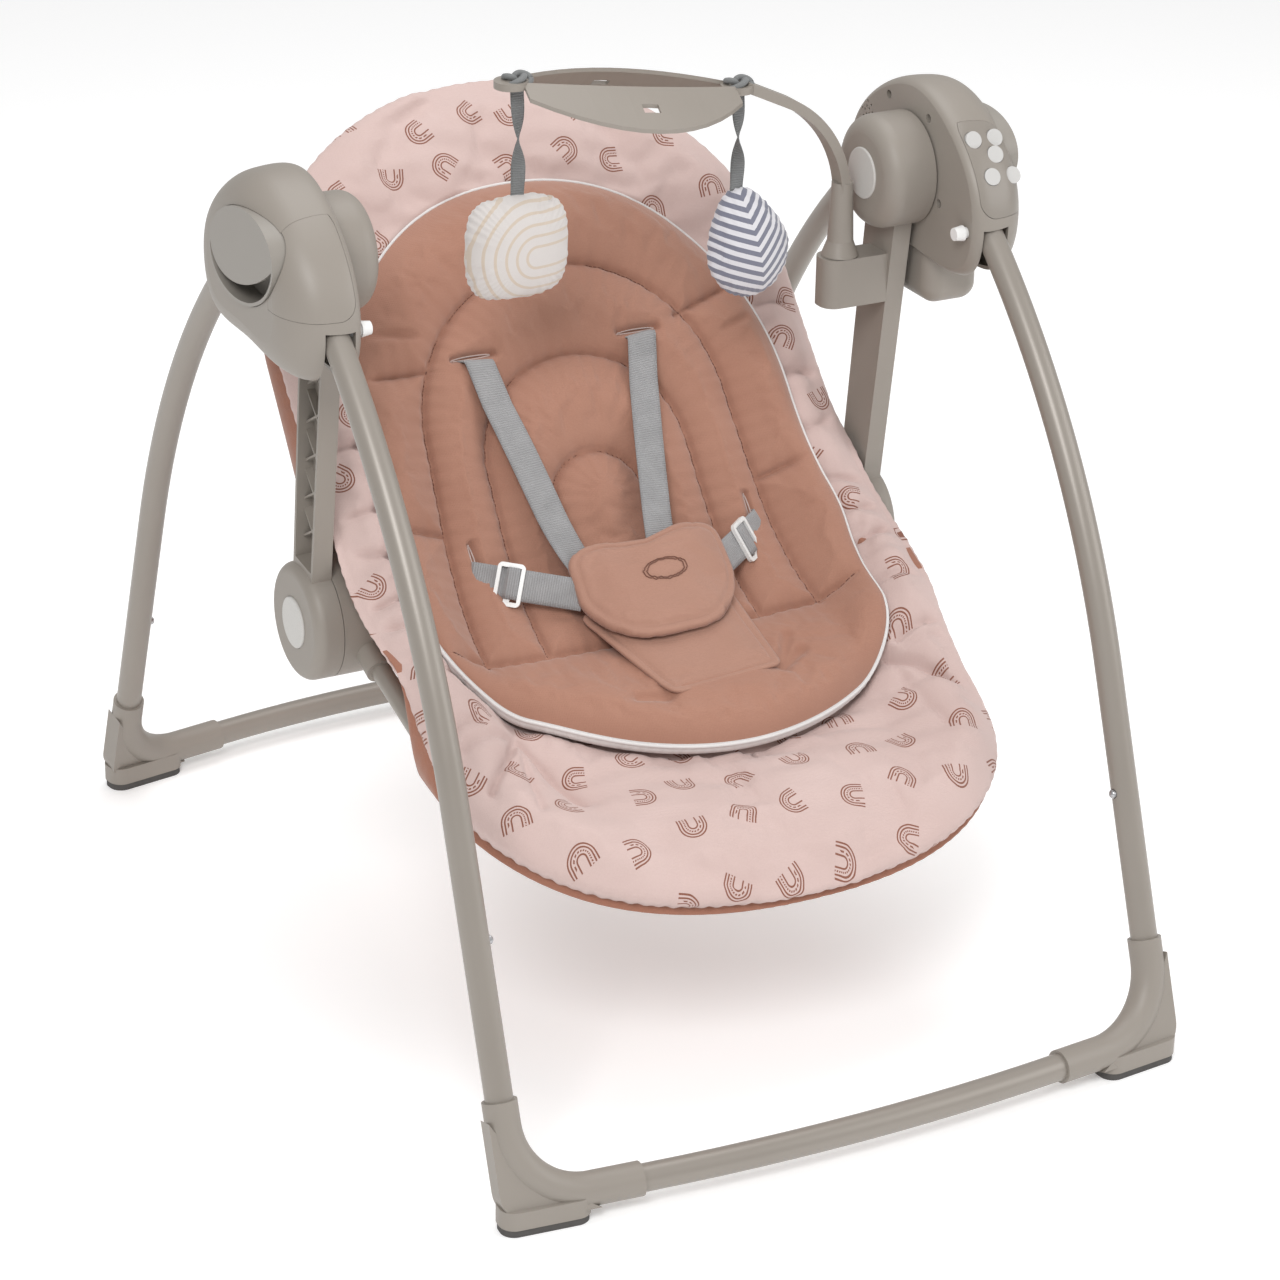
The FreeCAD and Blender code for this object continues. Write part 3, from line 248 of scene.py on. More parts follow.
def store(thing, name, values):
    """Keep a flat (x, l) coordinate, in metres, on each vertex for the materials."""
    attribute = thing.data.attributes.new(name, "FLOAT_VECTOR", "POINT")
    flat = np.zeros((len(thing.data.vertices), 3), np.float32)
    flat[:, :2] = values
    attribute.data.foreach_set("vector", flat.ravel())


def outward(thing):
    """Make every face look outwards."""
    bpy.context.view_layer.objects.active = thing
    thing.select_set(True)
    bpy.ops.object.mode_set(mode="EDIT")
    bpy.ops.mesh.select_all(action="SELECT")
    bpy.ops.mesh.normals_make_consistent(inside=False)
    bpy.ops.object.mode_set(mode="OBJECT")
    thing.select_set(False)


def pillow(name, loop, centre, rings, top, side, under, side_rows, seam_row):
    """A closed padded shape over a flat outline.

    top and under give offsets for flat points and their distance to the outline; side gives, for a share
    down the wall, how far the wall stands out.  Faces under seam_row of the wall take material 1; it is
    one row, or one for each point of the outline.
    """
    count = len(loop)
    seam_row = np.broadcast_to(seam_row, (count,))
    shares = [(i / rings) ** 0.9 for i in range(1, rings + 1)]
    flat = [np.array([centre])]
    for share in shares:
        flat.append(centre + (loop - centre) * share)
    flat = np.concatenate(flat)
    edge = edge_distance(flat[:, 0], flat[:, 1], loop)
    upper = top(flat[:, 0], flat[:, 1], edge)
    lower = under(flat[:, 0], flat[:, 1], edge)
    points = [seat_surface(flat[:, 0], flat[:, 1], upper)]
    pattern = [flat]
    normal = loop_normals(loop)
    top_rim, low_rim = upper[-count:], lower[-count:]
    for row in range(1, side_rows + 1):
        t = row / (side_rows + 1)
        out = side(t, top_rim - low_rim, loop)
        place = loop + normal * out[:, None]
        points.append(seat_surface(place[:, 0], place[:, 1], top_rim + (low_rim - top_rim) * t))
        pattern.append(loop + normal * ((top_rim - low_rim) * t)[:, None])
    points.append(seat_surface(flat[:, 0], flat[:, 1], lower))
    pattern.append(flat)
    ring_start = [1 + count * i for i in range(rings)]
    wall_start = [1 + count * (rings + i) for i in range(side_rows)]
    base = 1 + count * (rings + side_rows)
    faces, kinds = [], []

    def band(a, b, kind):
        for i in range(count):
            j = (i + 1) % count
            faces.append((a + i, a + j, b + j, b + i))
            kinds.append(kind if isinstance(kind, int) else int(kind[i]))

    def fan(middle, ring, kind):
        for i in range(count):
            faces.append((middle, ring + (i + 1) % count, ring + i))
            kinds.append(kind)

    fan(0, ring_start[0], 0)
    for a, b in zip(ring_start[:-1], ring_start[1:]):
        band(a, b, 0)
    chain = [ring_start[-1]] + wall_start + [base + 1 + count * (rings - 1)]
    for row, (a, b) in enumerate(zip(chain[:-1], chain[1:])):
        band(a, b, (row >= seam_row).astype(int))
    low_rings = [base + 1 + count * i for i in range(rings)]
    for a, b in zip(low_rings[:-1], low_rings[1:]):
        band(b, a, 1)
    fan(base, low_rings[0], 1)
    thing = new_mesh(name, np.concatenate(points), faces)
    thing.data.polygons.foreach_set("material_index", kinds)
    store(thing, "flat", np.concatenate(pattern) * MM)
    outward(thing)
    return thing


# ------------------------------------------------------------------ materials
def graph(name):
    """A new material with its shader, and helpers that add nodes to it."""
    material = bpy.data.materials.new(name)
    material.use_nodes = True
    tree = material.node_tree
    shader = tree.nodes["Principled BSDF"]

    def add(kind, links=(), **values):
        node = tree.nodes.new(kind)
        for key, value in values.items():
            if hasattr(node, key):
                setattr(node, key, value)
            else:
                node.inputs[key.replace("_", " ")].default_value = value
        for socket, source in links:
            tree.links.new(source, node.inputs[socket])
        return node

    def maths(operation, *inputs):
        node = tree.nodes.new("ShaderNodeMath")
        node.operation = operation
        for i, value in enumerate(inputs):
            if isinstance(value, (int, float)):
                node.inputs[i].default_value = value
            else:
                tree.links.new(value, node.inputs[i])
        return node.outputs[0]

    return material, tree, shader, add, maths


def noise(add, place, scale, detail):
    """A noise share over the object's own coordinates."""
    return add("ShaderNodeTexNoise", [("Vector", place)], Scale=scale, Detail=detail).outputs[0]


def flat_parts(add):
    """The two parts, across and along, of the flat coordinate kept on each vertex."""
    flat = add("ShaderNodeAttribute", attribute_name="flat").outputs["Vector"]
    split = add("ShaderNodeSeparateXYZ", [("Vector", flat)])
    return split.outputs[0], split.outputs[1]


def constants(shader, **values):
    """Plain values set straight on the shader's sockets, named with _ for a space."""
    for key, value in values.items():
        shader.inputs[key.replace("_", " ")].default_value = value


def mixed(add, share, a, b):
    """A colour between a and b; each may be a colour or a socket."""
    node = add("ShaderNodeMix", data_type="RGBA")
    node.inputs[0].default_value = share if isinstance(share, float) else 0.5
    tree = node.id_data
    if not isinstance(share, float):
        tree.links.new(share, node.inputs[0])
    for index, colour in ((6, a), (7, b)):
        if isinstance(colour, tuple):
            node.inputs[index].default_value = colour + (1.0,)
        else:
            tree.links.new(colour, node.inputs[index])
    return node.outputs[2]


def bump(tree, shader, add, height, strength, distance):
    node = add("ShaderNodeBump", Strength=strength, Distance=distance)
    tree.links.new(height, node.inputs["Height"])
    tree.links.new(node.outputs[0], shader.inputs["Normal"])


def cloth_colour(add, maths, base, shade):
    """A base colour with fine heather and broad, faint shade variation."""
    place = add("ShaderNodeTexCoord").outputs["Object"]
    broad = noise(add, place, 14.0, 3.0)
    fine = noise(add, place, 900.0, 2.0)
    level = maths("ADD", maths("MULTIPLY", broad, 0.6), maths("MULTIPLY", fine, 0.4))
    level = maths("MULTIPLY", maths("SUBTRACT", level, 0.35), 2.2)
    return mixed(add, level, shade, base), place


def weave(add, maths, place, pitch):
    """A plain weave's height from two crossed waves, pitch in metres."""
    scale = 1 / pitch / 2
    across = add("ShaderNodeTexWave", [("Vector", place)], bands_direction="X", Scale=scale * 0.62)
    down = add("ShaderNodeTexWave", [("Vector", place)], bands_direction="Z", Scale=scale * 0.62)
    return maths("MULTIPLY", across.outputs["Fac"], down.outputs["Fac"])


def fabric(name, base, shade, pitch=0.0011, strength=0.35, sheen=0.25, rough=0.9):
    """Woven or knitted cloth."""
    material, tree, shader, add, maths = graph(name)
    colour, place = cloth_colour(add, maths, base, shade)
    tree.links.new(colour, shader.inputs["Base Color"])
    grain = noise(add, place, 420.0, 4.0)
    height = maths("ADD", weave(add, maths, place, pitch), maths("MULTIPLY", grain, 0.7))
    bump(tree, shader, add, height, strength, 0.0004)
    constants(shader, Roughness=rough, Sheen_Weight=sheen, Sheen_Roughness=0.5, Specular_IOR_Level=0.25)
    return material


PRINT_PITCH = 0.047     # metres between the printed arches


def printed_fabric(name, base, shade, ink):
    """Cloth with a scattered print of small arches, drawn on the flat pattern."""
    material, tree, shader, add, maths = graph(name)
    colour, place = cloth_colour(add, maths, base, shade)
    across_flat, along_flat = flat_parts(add)
    row = maths("FLOOR", maths("DIVIDE", along_flat, PRINT_PITCH))
    shift = maths("MULTIPLY", maths("PINGPONG", row, 1.0), 0.5)
    across = maths("ADD", maths("DIVIDE", across_flat, PRINT_PITCH), shift)
    column = maths("FLOOR", across)
    cell = add("ShaderNodeCombineXYZ", [("X", column), ("Y", row)])
    chance = add("ShaderNodeTexWhiteNoise", [("Vector", cell.outputs[0])], noise_dimensions="3D")
    chances = add("ShaderNodeSeparateColor", [("Color", chance.outputs["Color"])])
    local_x = maths("SUBTRACT", maths("SUBTRACT", across, column), 0.5)
    local_y = maths("SUBTRACT", maths("SUBTRACT", maths("DIVIDE", along_flat, PRINT_PITCH), row), 0.5)
    aside = maths("MULTIPLY", maths("SUBTRACT", chances.outputs[0], 0.5), 0.34)
    upward = maths("MULTIPLY", maths("SUBTRACT", chances.outputs[1], 0.5), 0.34)
    local_x = maths("SUBTRACT", local_x, aside)
    local_y = maths("SUBTRACT", local_y, upward)
    local = add("ShaderNodeCombineXYZ", [("X", local_x), ("Y", local_y)])
    angle = maths("MULTIPLY", chances.outputs[2], 6.2832)
    turned = add("ShaderNodeVectorRotate", [("Vector", local.outputs[0]), ("Angle", angle)])
    spot = add("ShaderNodeSeparateXYZ", [("Vector", turned.outputs[0])])
    x = maths("MULTIPLY", spot.outputs[0], PRINT_PITCH * 1200)
    y = maths("MULTIPLY", spot.outputs[1], PRINT_PITCH * 1200)
    above = maths("MAXIMUM", y, 0.0)
    radius = maths("SQRT", maths("ADD", maths("MULTIPLY", x, x), maths("MULTIPLY", above, above)))
    step = maths("DIVIDE", maths("SUBTRACT", radius, 4.2), 2.7)
    nearest = maths("ROUND", step)
    line = maths("LESS_THAN", maths("ABSOLUTE", maths("SUBTRACT", step, nearest)), 0.25)
    inside = maths("MULTIPLY", maths("GREATER_THAN", radius, 3.4), maths("LESS_THAN", radius, 13.4))
    leg = maths("GREATER_THAN", y, -8.5)
    turn = maths("ARCTAN2", y, x)
    dash = maths("GREATER_THAN", maths("SINE", maths("ADD", maths("MULTIPLY", turn, 16.0),
                                                     maths("MULTIPLY", y, 1.1))), -0.35)
    dashed_row = maths("COMPARE", nearest, 1.0, 0.5)
    solid = maths("SUBTRACT", 1.0, maths("MULTIPLY", dashed_row, maths("SUBTRACT", 1.0, dash)))
    ink_share = maths("MULTIPLY", maths("MULTIPLY", maths("MULTIPLY", line, inside), leg),
                      maths("MULTIPLY", solid, 0.95))
    tree.links.new(mixed(add, ink_share, colour, ink), shader.inputs["Base Color"])
    grain = noise(add, place, 420.0, 4.0)
    height = maths("ADD", weave(add, maths, place, 0.0010), maths("MULTIPLY", grain, 0.6))
    bump(tree, shader, add, height, 0.3, 0.0004)
    constants(shader, Roughness=0.88, Sheen_Weight=0.2, Specular_IOR_Level=0.25)
    return material


def webbing_material(name, base, shade):
    """Ribbed webbing: ribs cross the strap, from the flat coordinate's second part; the rib troughs carry
    painted shade.
    """
    material, tree, shader, add, maths = graph(name)
    across_flat, along_flat = flat_parts(add)
    rib = maths("SINE", maths("MULTIPLY", along_flat, 2 * math.pi / 0.0019))
    cord_lines = maths("SINE", maths("MULTIPLY", across_flat, 2 * math.pi / 0.0012))
    height = maths("ADD", rib, maths("MULTIPLY", cord_lines, 0.35))
    place = add("ShaderNodeTexCoord").outputs["Object"]
    broad = noise(add, place, 60.0, 4.0)
    # Colour is partly painted shade, with rib troughs darker following the rib height, and partly broad
    # random tone.
    level = maths("ADD", maths("MULTIPLY", rib, 0.22), broad)
    tree.links.new(mixed(add, level, shade, base), shader.inputs["Base Color"])
    bump(tree, shader, add, height, 0.6, 0.0004)
    constants(shader, Roughness=0.75, Sheen_Weight=0.15)
    return material


def plastic(name, base, shade, rough=0.42, grain=0.12, specks=0.0):
    """Moulded plastic with a fine spark-eroded grain and slightly worn sheen."""
    material, tree, shader, add, maths = graph(name)
    place = add("ShaderNodeTexCoord").outputs["Object"]
    broad = noise(add, place, 9.0, 3.0)
    fine = noise(add, place, 1500.0, 2.0)
    colour = mixed(add, broad, shade, base)
    if specks:
        dots = noise(add, place, 2600.0, 1.0)
        share = maths("MULTIPLY", maths("GREATER_THAN", dots, 0.60), specks)
        colour = mixed(add, share, colour, tuple(0.62 * c for c in base))
    tree.links.new(colour, shader.inputs["Base Color"])
    spread = maths("ADD", maths("MULTIPLY", broad, 0.12), rough - 0.06)
    tree.links.new(spread, shader.inputs["Roughness"])
    bump(tree, shader, add, fine, grain, 0.0003)
    constants(shader, Specular_IOR_Level=0.45)
    return material


def painted_tube(name, base, shade):
    """Powder-coated steel: fine orange peel under a soft sheen."""
    material, tree, shader, add, maths = graph(name)
    place = add("ShaderNodeTexCoord").outputs["Object"]
    broad = noise(add, place, 7.0, 2.0)
    peel = noise(add, place, 650.0, 1.0)
    tree.links.new(mixed(add, broad, shade, base), shader.inputs["Base Color"])
    tree.links.new(maths("ADD", maths("MULTIPLY", broad, 0.10), 0.33), shader.inputs["Roughness"])
    bump(tree, shader, add, peel, 0.10, 0.0003)
    constants(shader, Metallic=0.15, Coat_Weight=0.15, Coat_Roughness=0.3)
    return material


def rubber(name, base):
    """Dark moulded rubber."""
    material, tree, shader, add, _ = graph(name)
    place = add("ShaderNodeTexCoord").outputs["Object"]
    dust = noise(add, place, 55.0, 6.0)
    pale = tuple(2.2 * c for c in base)
    tree.links.new(mixed(add, dust, base, pale), shader.inputs["Base Color"])
    bump(tree, shader, add, dust, 0.2, 0.0005)
    constants(shader, Roughness=0.8)
    return material


def metal(name, base, rough):
    """Plain bare metal with faint turning marks."""
    material, tree, shader, add, _ = graph(name)
    place = add("ShaderNodeTexCoord").outputs["Object"]
    marks = noise(add, place, 700.0, 2.0)
    dull = tuple(0.85 * c for c in base)
    tree.links.new(mixed(add, marks, base, dull), shader.inputs["Base Color"])
    constants(shader, Metallic=1.0, Roughness=rough)
    return material


def striped_toy(name, base, stripe):
    """White plush with chevron stripes that meet at a ridge, from the flat coordinate."""
    material, tree, shader, add, maths = graph(name)
    across_flat, along_flat = flat_parts(add)
    slant = maths("ADD", along_flat, maths("MULTIPLY", maths("ABSOLUTE", across_flat), -0.62))
    band = maths("GREATER_THAN", maths("SINE", maths("MULTIPLY", slant, 2 * math.pi / 0.0088)), 0.0)
    place = add("ShaderNodeTexCoord").outputs["Object"]
    fine = noise(add, place, 900.0, 3.0)
    tree.links.new(mixed(add, band, base, stripe), shader.inputs["Base Color"])
    bump(tree, shader, add, fine, 0.35, 0.0005)
    constants(shader, Roughness=0.92, Sheen_Weight=0.3)
    return material


def arched_toy(name, base, line_colour):
    """White plush with nested rounded bands that open to one side."""
    material, tree, shader, add, maths = graph(name)
    across_flat, along_flat = flat_parts(add)
    x = maths("MINIMUM", maths("SUBTRACT", across_flat, 0.008), 0.0)
    y = maths("ADD", along_flat, 0.004)
    radius = maths("SQRT", maths("ADD", maths("MULTIPLY", x, x), maths("MULTIPLY", y, y)))
    step = maths("DIVIDE", radius, 0.0082)
    near = maths("ABSOLUTE", maths("SUBTRACT", step, maths("ROUND", step)))
    line = maths("MULTIPLY", maths("LESS_THAN", near, 0.13), maths("GREATER_THAN", step, 0.6))
    share = maths("MULTIPLY", line, 0.75)
    tree.links.new(mixed(add, share, base, line_colour), shader.inputs["Base Color"])
    place = add("ShaderNodeTexCoord").outputs["Object"]
    fine = noise(add, place, 700.0, 5.0)
    bump(tree, shader, add, fine, 0.5, 0.0006)
    constants(shader, Roughness=0.95, Sheen_Weight=0.35)
    return material


TAUPE = (0.290, 0.260, 0.228)
TAUPE_DARK = (0.250, 0.222, 0.192)
PALE = (0.56, 0.545, 0.52)
PINK = (0.600, 0.462, 0.432)
PINK_SHADE = (0.550, 0.410, 0.380)
CLAY = (0.405, 0.212, 0.150)
CLAY_SHADE = (0.355, 0.178, 0.124)

M = {
    "tube": painted_tube("paint_taupe", TAUPE, TAUPE_DARK),
    "housing": plastic("plastic_taupe", TAUPE, TAUPE_DARK, 0.45, 0.14),
    "arm": plastic("plastic_taupe_arm", TAUPE, TAUPE_DARK, 0.48, 0.16),
    "pale": plastic("plastic_pale", PALE, (0.50, 0.485, 0.46), 0.45, 0.16, 0.35),
    "grip": plastic("plastic_grip", (0.285, 0.262, 0.235), (0.25, 0.228, 0.20), 0.42, 0.14),
    "panel": plastic("plastic_panel", (0.262, 0.235, 0.206), (0.232, 0.207, 0.18), 0.35, 0.08),
    "white": plastic("plastic_white", (0.78, 0.775, 0.765), (0.72, 0.715, 0.70), 0.30, 0.05),
    "button": plastic("plastic_button", (0.50, 0.49, 0.475), (0.46, 0.45, 0.435), 0.35, 0.05),
    "rubber": rubber("rubber_dark", (0.045, 0.042, 0.040)),
    "steel": metal("steel_plain", (0.50, 0.50, 0.51), 0.32),
    "copper": metal("copper_wire", (0.72, 0.36, 0.20), 0.35),
    "bearing": plastic("plastic_bearing", (0.75, 0.74, 0.70), (0.70, 0.69, 0.65), 0.4, 0.05),
    "cell": plastic("cell_jacket", (0.05, 0.12, 0.09), (0.04, 0.09, 0.07), 0.3, 0.03),
    "board": plastic("board_green", (0.03, 0.15, 0.06), (0.02, 0.11, 0.05), 0.35, 0.03),
    "black": plastic("plastic_black", (0.03, 0.03, 0.032), (0.02, 0.02, 0.022), 0.5, 0.1),
    "print": printed_fabric("cloth_pink_print", PINK, PINK_SHADE, (0.21, 0.075, 0.045)),
    "clay": fabric("cloth_clay", CLAY, CLAY_SHADE),
    "clay_pad": fabric("cloth_clay_pad", (0.42, 0.235, 0.175), (0.37, 0.20, 0.146), 0.0009, 0.3, 0.2),
    "clay_under": fabric("cloth_clay_under", (0.36, 0.165, 0.11), (0.30, 0.135, 0.09), 0.0013, 0.3),
    "trim": fabric("cloth_white_trim", (0.74, 0.72, 0.71), (0.66, 0.64, 0.63), 0.0008, 0.3),
    "thread": fabric("thread_clay", (0.20, 0.085, 0.055), (0.16, 0.065, 0.042), 0.0006, 0.3),
    "thread_white": fabric("thread_pale", (0.66, 0.56, 0.52), (0.58, 0.48, 0.45), 0.0006, 0.3),
    "webbing": webbing_material("webbing_grey", (0.36, 0.355, 0.36), (0.24, 0.237, 0.24)),
    "strap": webbing_material("strap_grey", (0.20, 0.205, 0.205), (0.13, 0.133, 0.133)),
    "toy_white": arched_toy("plush_white", (0.57, 0.535, 0.515), (0.52, 0.42, 0.32)),
    "toy_stripe": striped_toy("plush_stripe", (0.62, 0.61, 0.64), (0.17, 0.175, 0.225)),
}

CAD_LOOKS = {
    "tube": ["front_leg_left", "front_leg_right", "rear_leg_left", "rear_leg_right", "front_floor_tube",
             "rear_floor_tube", "back_tube", "pan_tube"],
    "housing": ["hub_inner_cover_left", "hub_inner_cover_right", "hub_outer_cover_left",
                "hub_outer_cover_right", "front_trim", "seat_brackets", "leg_knuckles", "front_feet",
                "rear_feet", "battery_case", "battery_door", "toy_bar_clip", "toy_bar_post", "toy_ring",
                "drive_lever"],
    "arm": ["swing_arm_left", "swing_arm_right"],
    "grip": ["grip_panel_left", "grip_panel_right"],
    "pale": ["arm_caps", "recline_button_left", "recline_button_right"],
    "panel": ["control_panel"],
    "white": ["leg_release_left", "leg_release_right", "tri_glides"],
    "button": ["music_button", "sound_button", "timer_button", "speed_button", "power_button"],
    "rubber": ["front_foot_pads", "rear_foot_pads"],
    "steel": ["pivot_shafts", "hub_screws", "front_snap_pin_left", "front_snap_pin_right",
              "rear_snap_pin_left", "rear_snap_pin_right"],
    "bearing": ["pivot_bushes"],
    "cell": ["batteries"],
    "board": ["circuit_board"],
    "copper": ["drive_coil"],
    "black": ["speaker"],
}


def dress_cad():
    """Give every CAD piece that stays its material."""
    for look, names in CAD_LOOKS.items():
        for name in names:
            for held in frame["nodes"][name].material_slots:
                held.material = M[look]


def finish_piece(thing, body, looks):
    """Materials and body of a new piece."""
    for look in looks:
        thing.data.materials.append(M[look])
    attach(thing, body)


# ------------------------------------------------------------------ cloth settling
def search_tree(points):
    """A tree that finds the points nearest to a place."""
    tree = kdtree.KDTree(len(points))
    for i, place in enumerate(points):
        tree.insert(place, i)
    tree.balance()
    return tree


def relax(thing, pins, pressure, slack, voxel=5.0, limit=7.0, frames=16):
    """Let a padded piece settle as cloth and carry the movement back to its own mesh.

    pins holds a share for each vertex: 1 stays put.  slack is how much the cloth is longer than its shape.
    """
    work = thing.copy()
    work.data = thing.data.copy()
    bpy.context.scene.collection.objects.link(work)
    bpy.context.view_layer.objects.active = work
    remesh = work.modifiers.new("even", "REMESH")
    remesh.mode = "VOXEL"
    remesh.voxel_size = voxel * MM
    bpy.ops.object.modifier_apply(modifier="even")
    rest = np.array([v.co[:] for v in work.data.vertices])
    own = np.array([v.co[:] for v in thing.data.vertices])
    tree = search_tree(own)
    group = work.vertex_groups.new(name="held")
    for i, place in enumerate(rest):
        group.add([i], float(pins[tree.find(place)[1]]), "REPLACE")
    cloth = work.modifiers.new("cloth", "CLOTH")
    settings = cloth.settings
    settings.quality = 6
    settings.mass = 0.25
    settings.tension_stiffness = 18
    settings.compression_stiffness = 18
    settings.shear_stiffness = 6
    settings.bending_stiffness = 0.25
    settings.use_pressure = True
    settings.uniform_pressure_force = pressure
    settings.shrink_min = -slack
    settings.vertex_group_mass = "held"
    settings.effector_weights.gravity = 0
    cloth.collision_settings.use_collision = False
    cloth.point_cache.frame_start = 1
    cloth.point_cache.frame_end = frames
    for frame_number in range(1, frames + 1):
        bpy.context.scene.frame_set(frame_number)
    settled = work.evaluated_get(bpy.context.evaluated_depsgraph_get()).to_mesh()
    move = np.array([v.co[:] for v in settled.vertices]) - rest
    length = np.linalg.norm(move, axis=1)
    move *= np.minimum(1, limit * MM / np.maximum(length, 1e-9))[:, None]
    tree = search_tree(rest)
    shift = np.zeros(own.shape)
    for i, place in enumerate(own):
        near = tree.find_n(place, 5)
        weights = np.array([1 / (distance + 0.8 * MM) ** 2 for _, _, distance in near])
        shift[i] = weights @ move[[index for _, index, _ in near]] / weights.sum()
    shift *= (1 - pins)[:, None]
    thing.data.vertices.foreach_set("co", (own + shift).astype(np.float32).ravel())
    thing.data.update()
    bpy.context.scene.frame_set(1)
    bpy.data.objects.remove(work)


def flat_of(thing):
    """The stored flat (x, l) of every vertex, in mm."""
    values = np.zeros(len(thing.data.vertices) * 3, np.float32)
    thing.data.attributes["flat"].data.foreach_get("vector", values)
    return values.reshape(-1, 3)[:, :2] / MM


# ------------------------------------------------------------------ the quilting lines of the insert
def arch(centre_l, radius, foot_l, foot_x, steps=24):
    """An arch-shaped seam: a half circle on two legs that reach the crease seam."""
    turn = [math.pi * i / steps for i in range(steps + 1)]
    round_part = [(radius * math.cos(a), centre_l + radius * math.sin(a)) for a in turn]
    return [(foot_x, foot_l)] + round_part + [(-foot_x, foot_l)]


CREASE_L = -58.0
SEAMS = [arch(132, 133, CREASE_L, 146), arch(102, 88, CREASE_L, 93), arch(69, 40, CREASE_L, 38),
         [(-177, CREASE_L + 4), (-90, CREASE_L), (0, CREASE_L - 2), (90, CREASE_L), (177, CREASE_L + 4)],
         [(-117, 193), (-170, 193)], [(104, 206), (154, 221)], [(138, 62), (186, 72)],
         [(-138, 62), (-186, 72)]]
SOFT_FOLDS = [[(-121, 220), (-158, 228)], [(112, 178), (162, 193)], [(120, 40), (120, 20)],
              [(-120, 40), (-120, 20)], [(76, -126), (98, -112)], [(76, -124), (96, -92)],
              [(-30, -134), (-52, -128)]]
SLOT_MIDDLE = -7.0
SHOULDER_SLOT = (73.0, 198.0)
WAIST_SLIT = (122.0, 37.0)


def insert_gap(x, l):
    """A flat point's place across the insert: 1 on its outline, more outside, also past its ends."""
    half = np.interp(l, INSERT_STEPS, INSERT_WIDTHS, left=0.0, right=0.0)
    share = np.abs(x - insert_lean(l)) / np.maximum(half, 1.0)
    beyond = np.maximum(INSERT_LOW - l, l - INSERT_HIGH)
    return np.where(beyond > 0, np.maximum(share, 0.9 + beyond / 60.0), share)


INSERT_STEPS = np.linspace(INSERT_LOW, INSERT_HIGH, 300)
INSERT_WIDTHS = np.array([insert_half(l) for l in INSERT_STEPS])


def crease_lines():
    """Where the cover is pulled in: across its side rolls, and fanning out at the insert's front corner."""
    lines = []
    for side in (-1, 1):
        for number, level in enumerate((268, 205, 146, 92, 50, 14, -22, -66, -120)):
            tilt = 12 * math.sin(2.3 * number + side)
            inner = 176 + 9 * math.sin(1.7 * number)
            lines.append([(side * inner, level),
                          (side * 205, level + 0.4 * tilt),
                          (side * 226, level + tilt)])
    for end in ((-205, -142), (-196, -178), (-168, -206), (-128, -200)):
        lines.append([(-150, -122), end])
    for end in ((214, -128), (208, -168), (182, -206)):
        lines.append([(172, -128), end])
    return lines


CREASES = crease_lines()


def cover_creases(x, l):
    """Depth of the creases: a narrow valley in a broad dip."""
    deep = np.zeros(x.shape)
    for number, line in enumerate(CREASES):
        distance, _ = to_line(x, l, line)
        size = 1.0 + 0.35 * math.sin(3.1 * number)
        depth = 3.0 * np.exp(-(distance / 3.2) ** 2) + 7.0 * np.exp(-distance / 11.0)
        deep = np.maximum(deep, size * depth)
    return deep


def cover_folds(x, l):
    """Folds and puckers of the cover's upper face, away from the insert."""
    half = np.interp(l, COVER_STEPS, COVER_WIDTHS)
    rim = np.abs(x) / np.maximum(half, 60.0)
    slow = waves(x, l, 95, 3) * 2.6
    quick = waves(x, l * 1.5, 38, 8) * 1.4
    hips = np.sin(2 * math.pi * (l - 6) / 31.0 + np.abs(x) / 14.0)
    hips = hips * 1.5 * np.exp(-((l - 5) / 62.0) ** 2) * smoothstep(0.72, 0.95, rim)
    front = 2.5 * smoothstep(-200, -250, l)
    return slow + quick + hips + front - cover_creases(x, l)


def cover_face(x, l, edge):
    """The cover's upper face: puffed between its rim seam and the insert, and folded."""
    clear = smoothstep(0.90, 1.05, insert_gap(x, l))
    edge_drop = -7.0 * np.exp(-edge / 9.0)
    puff = 10.0 * smoothstep(0, 30, edge) * clear
    return cover_top(x, l) + puff + edge_drop + cover_folds(x, l) * clear * smoothstep(0, 16, edge)


COVER_ROWS = 17         # rows of points down the cover's wall
COVER_RINGS = 110       # rings of points over its upper and lower faces


def roll_share(loop):
    """The share of the wall's height that the pink roll takes: less along the back, more at the front."""
    return 0.40 + 0.38 * smoothstep(-110, -175, loop[:, 1])


def cover_side(t, height, loop):
    """The cover's wall: a fat pink roll above the rim seam, then the clay side below it."""
    run = np.arange(len(loop)) * np.hypot(*(loop[1] - loop[0]))
    pucker = np.sin(2 * math.pi * run / 11.0) + 0.5 * np.sin(2 * math.pi * run / 17.3 + 1.0)
    share = roll_share(loop)
    down = np.minimum(t / share, 1)
    below = np.clip((t - share) / (1 - share), 0, 1)
    roll = 6.0 * np.sin(math.pi * down ** 0.8) + 0.7 * pucker * down - 1.0
    wall = 4.5 * np.sin(math.pi * below) ** 0.7 - 1.0 + 0.6 * pucker * (1 - below) ** 2
    return np.where(t < share, roll, wall)


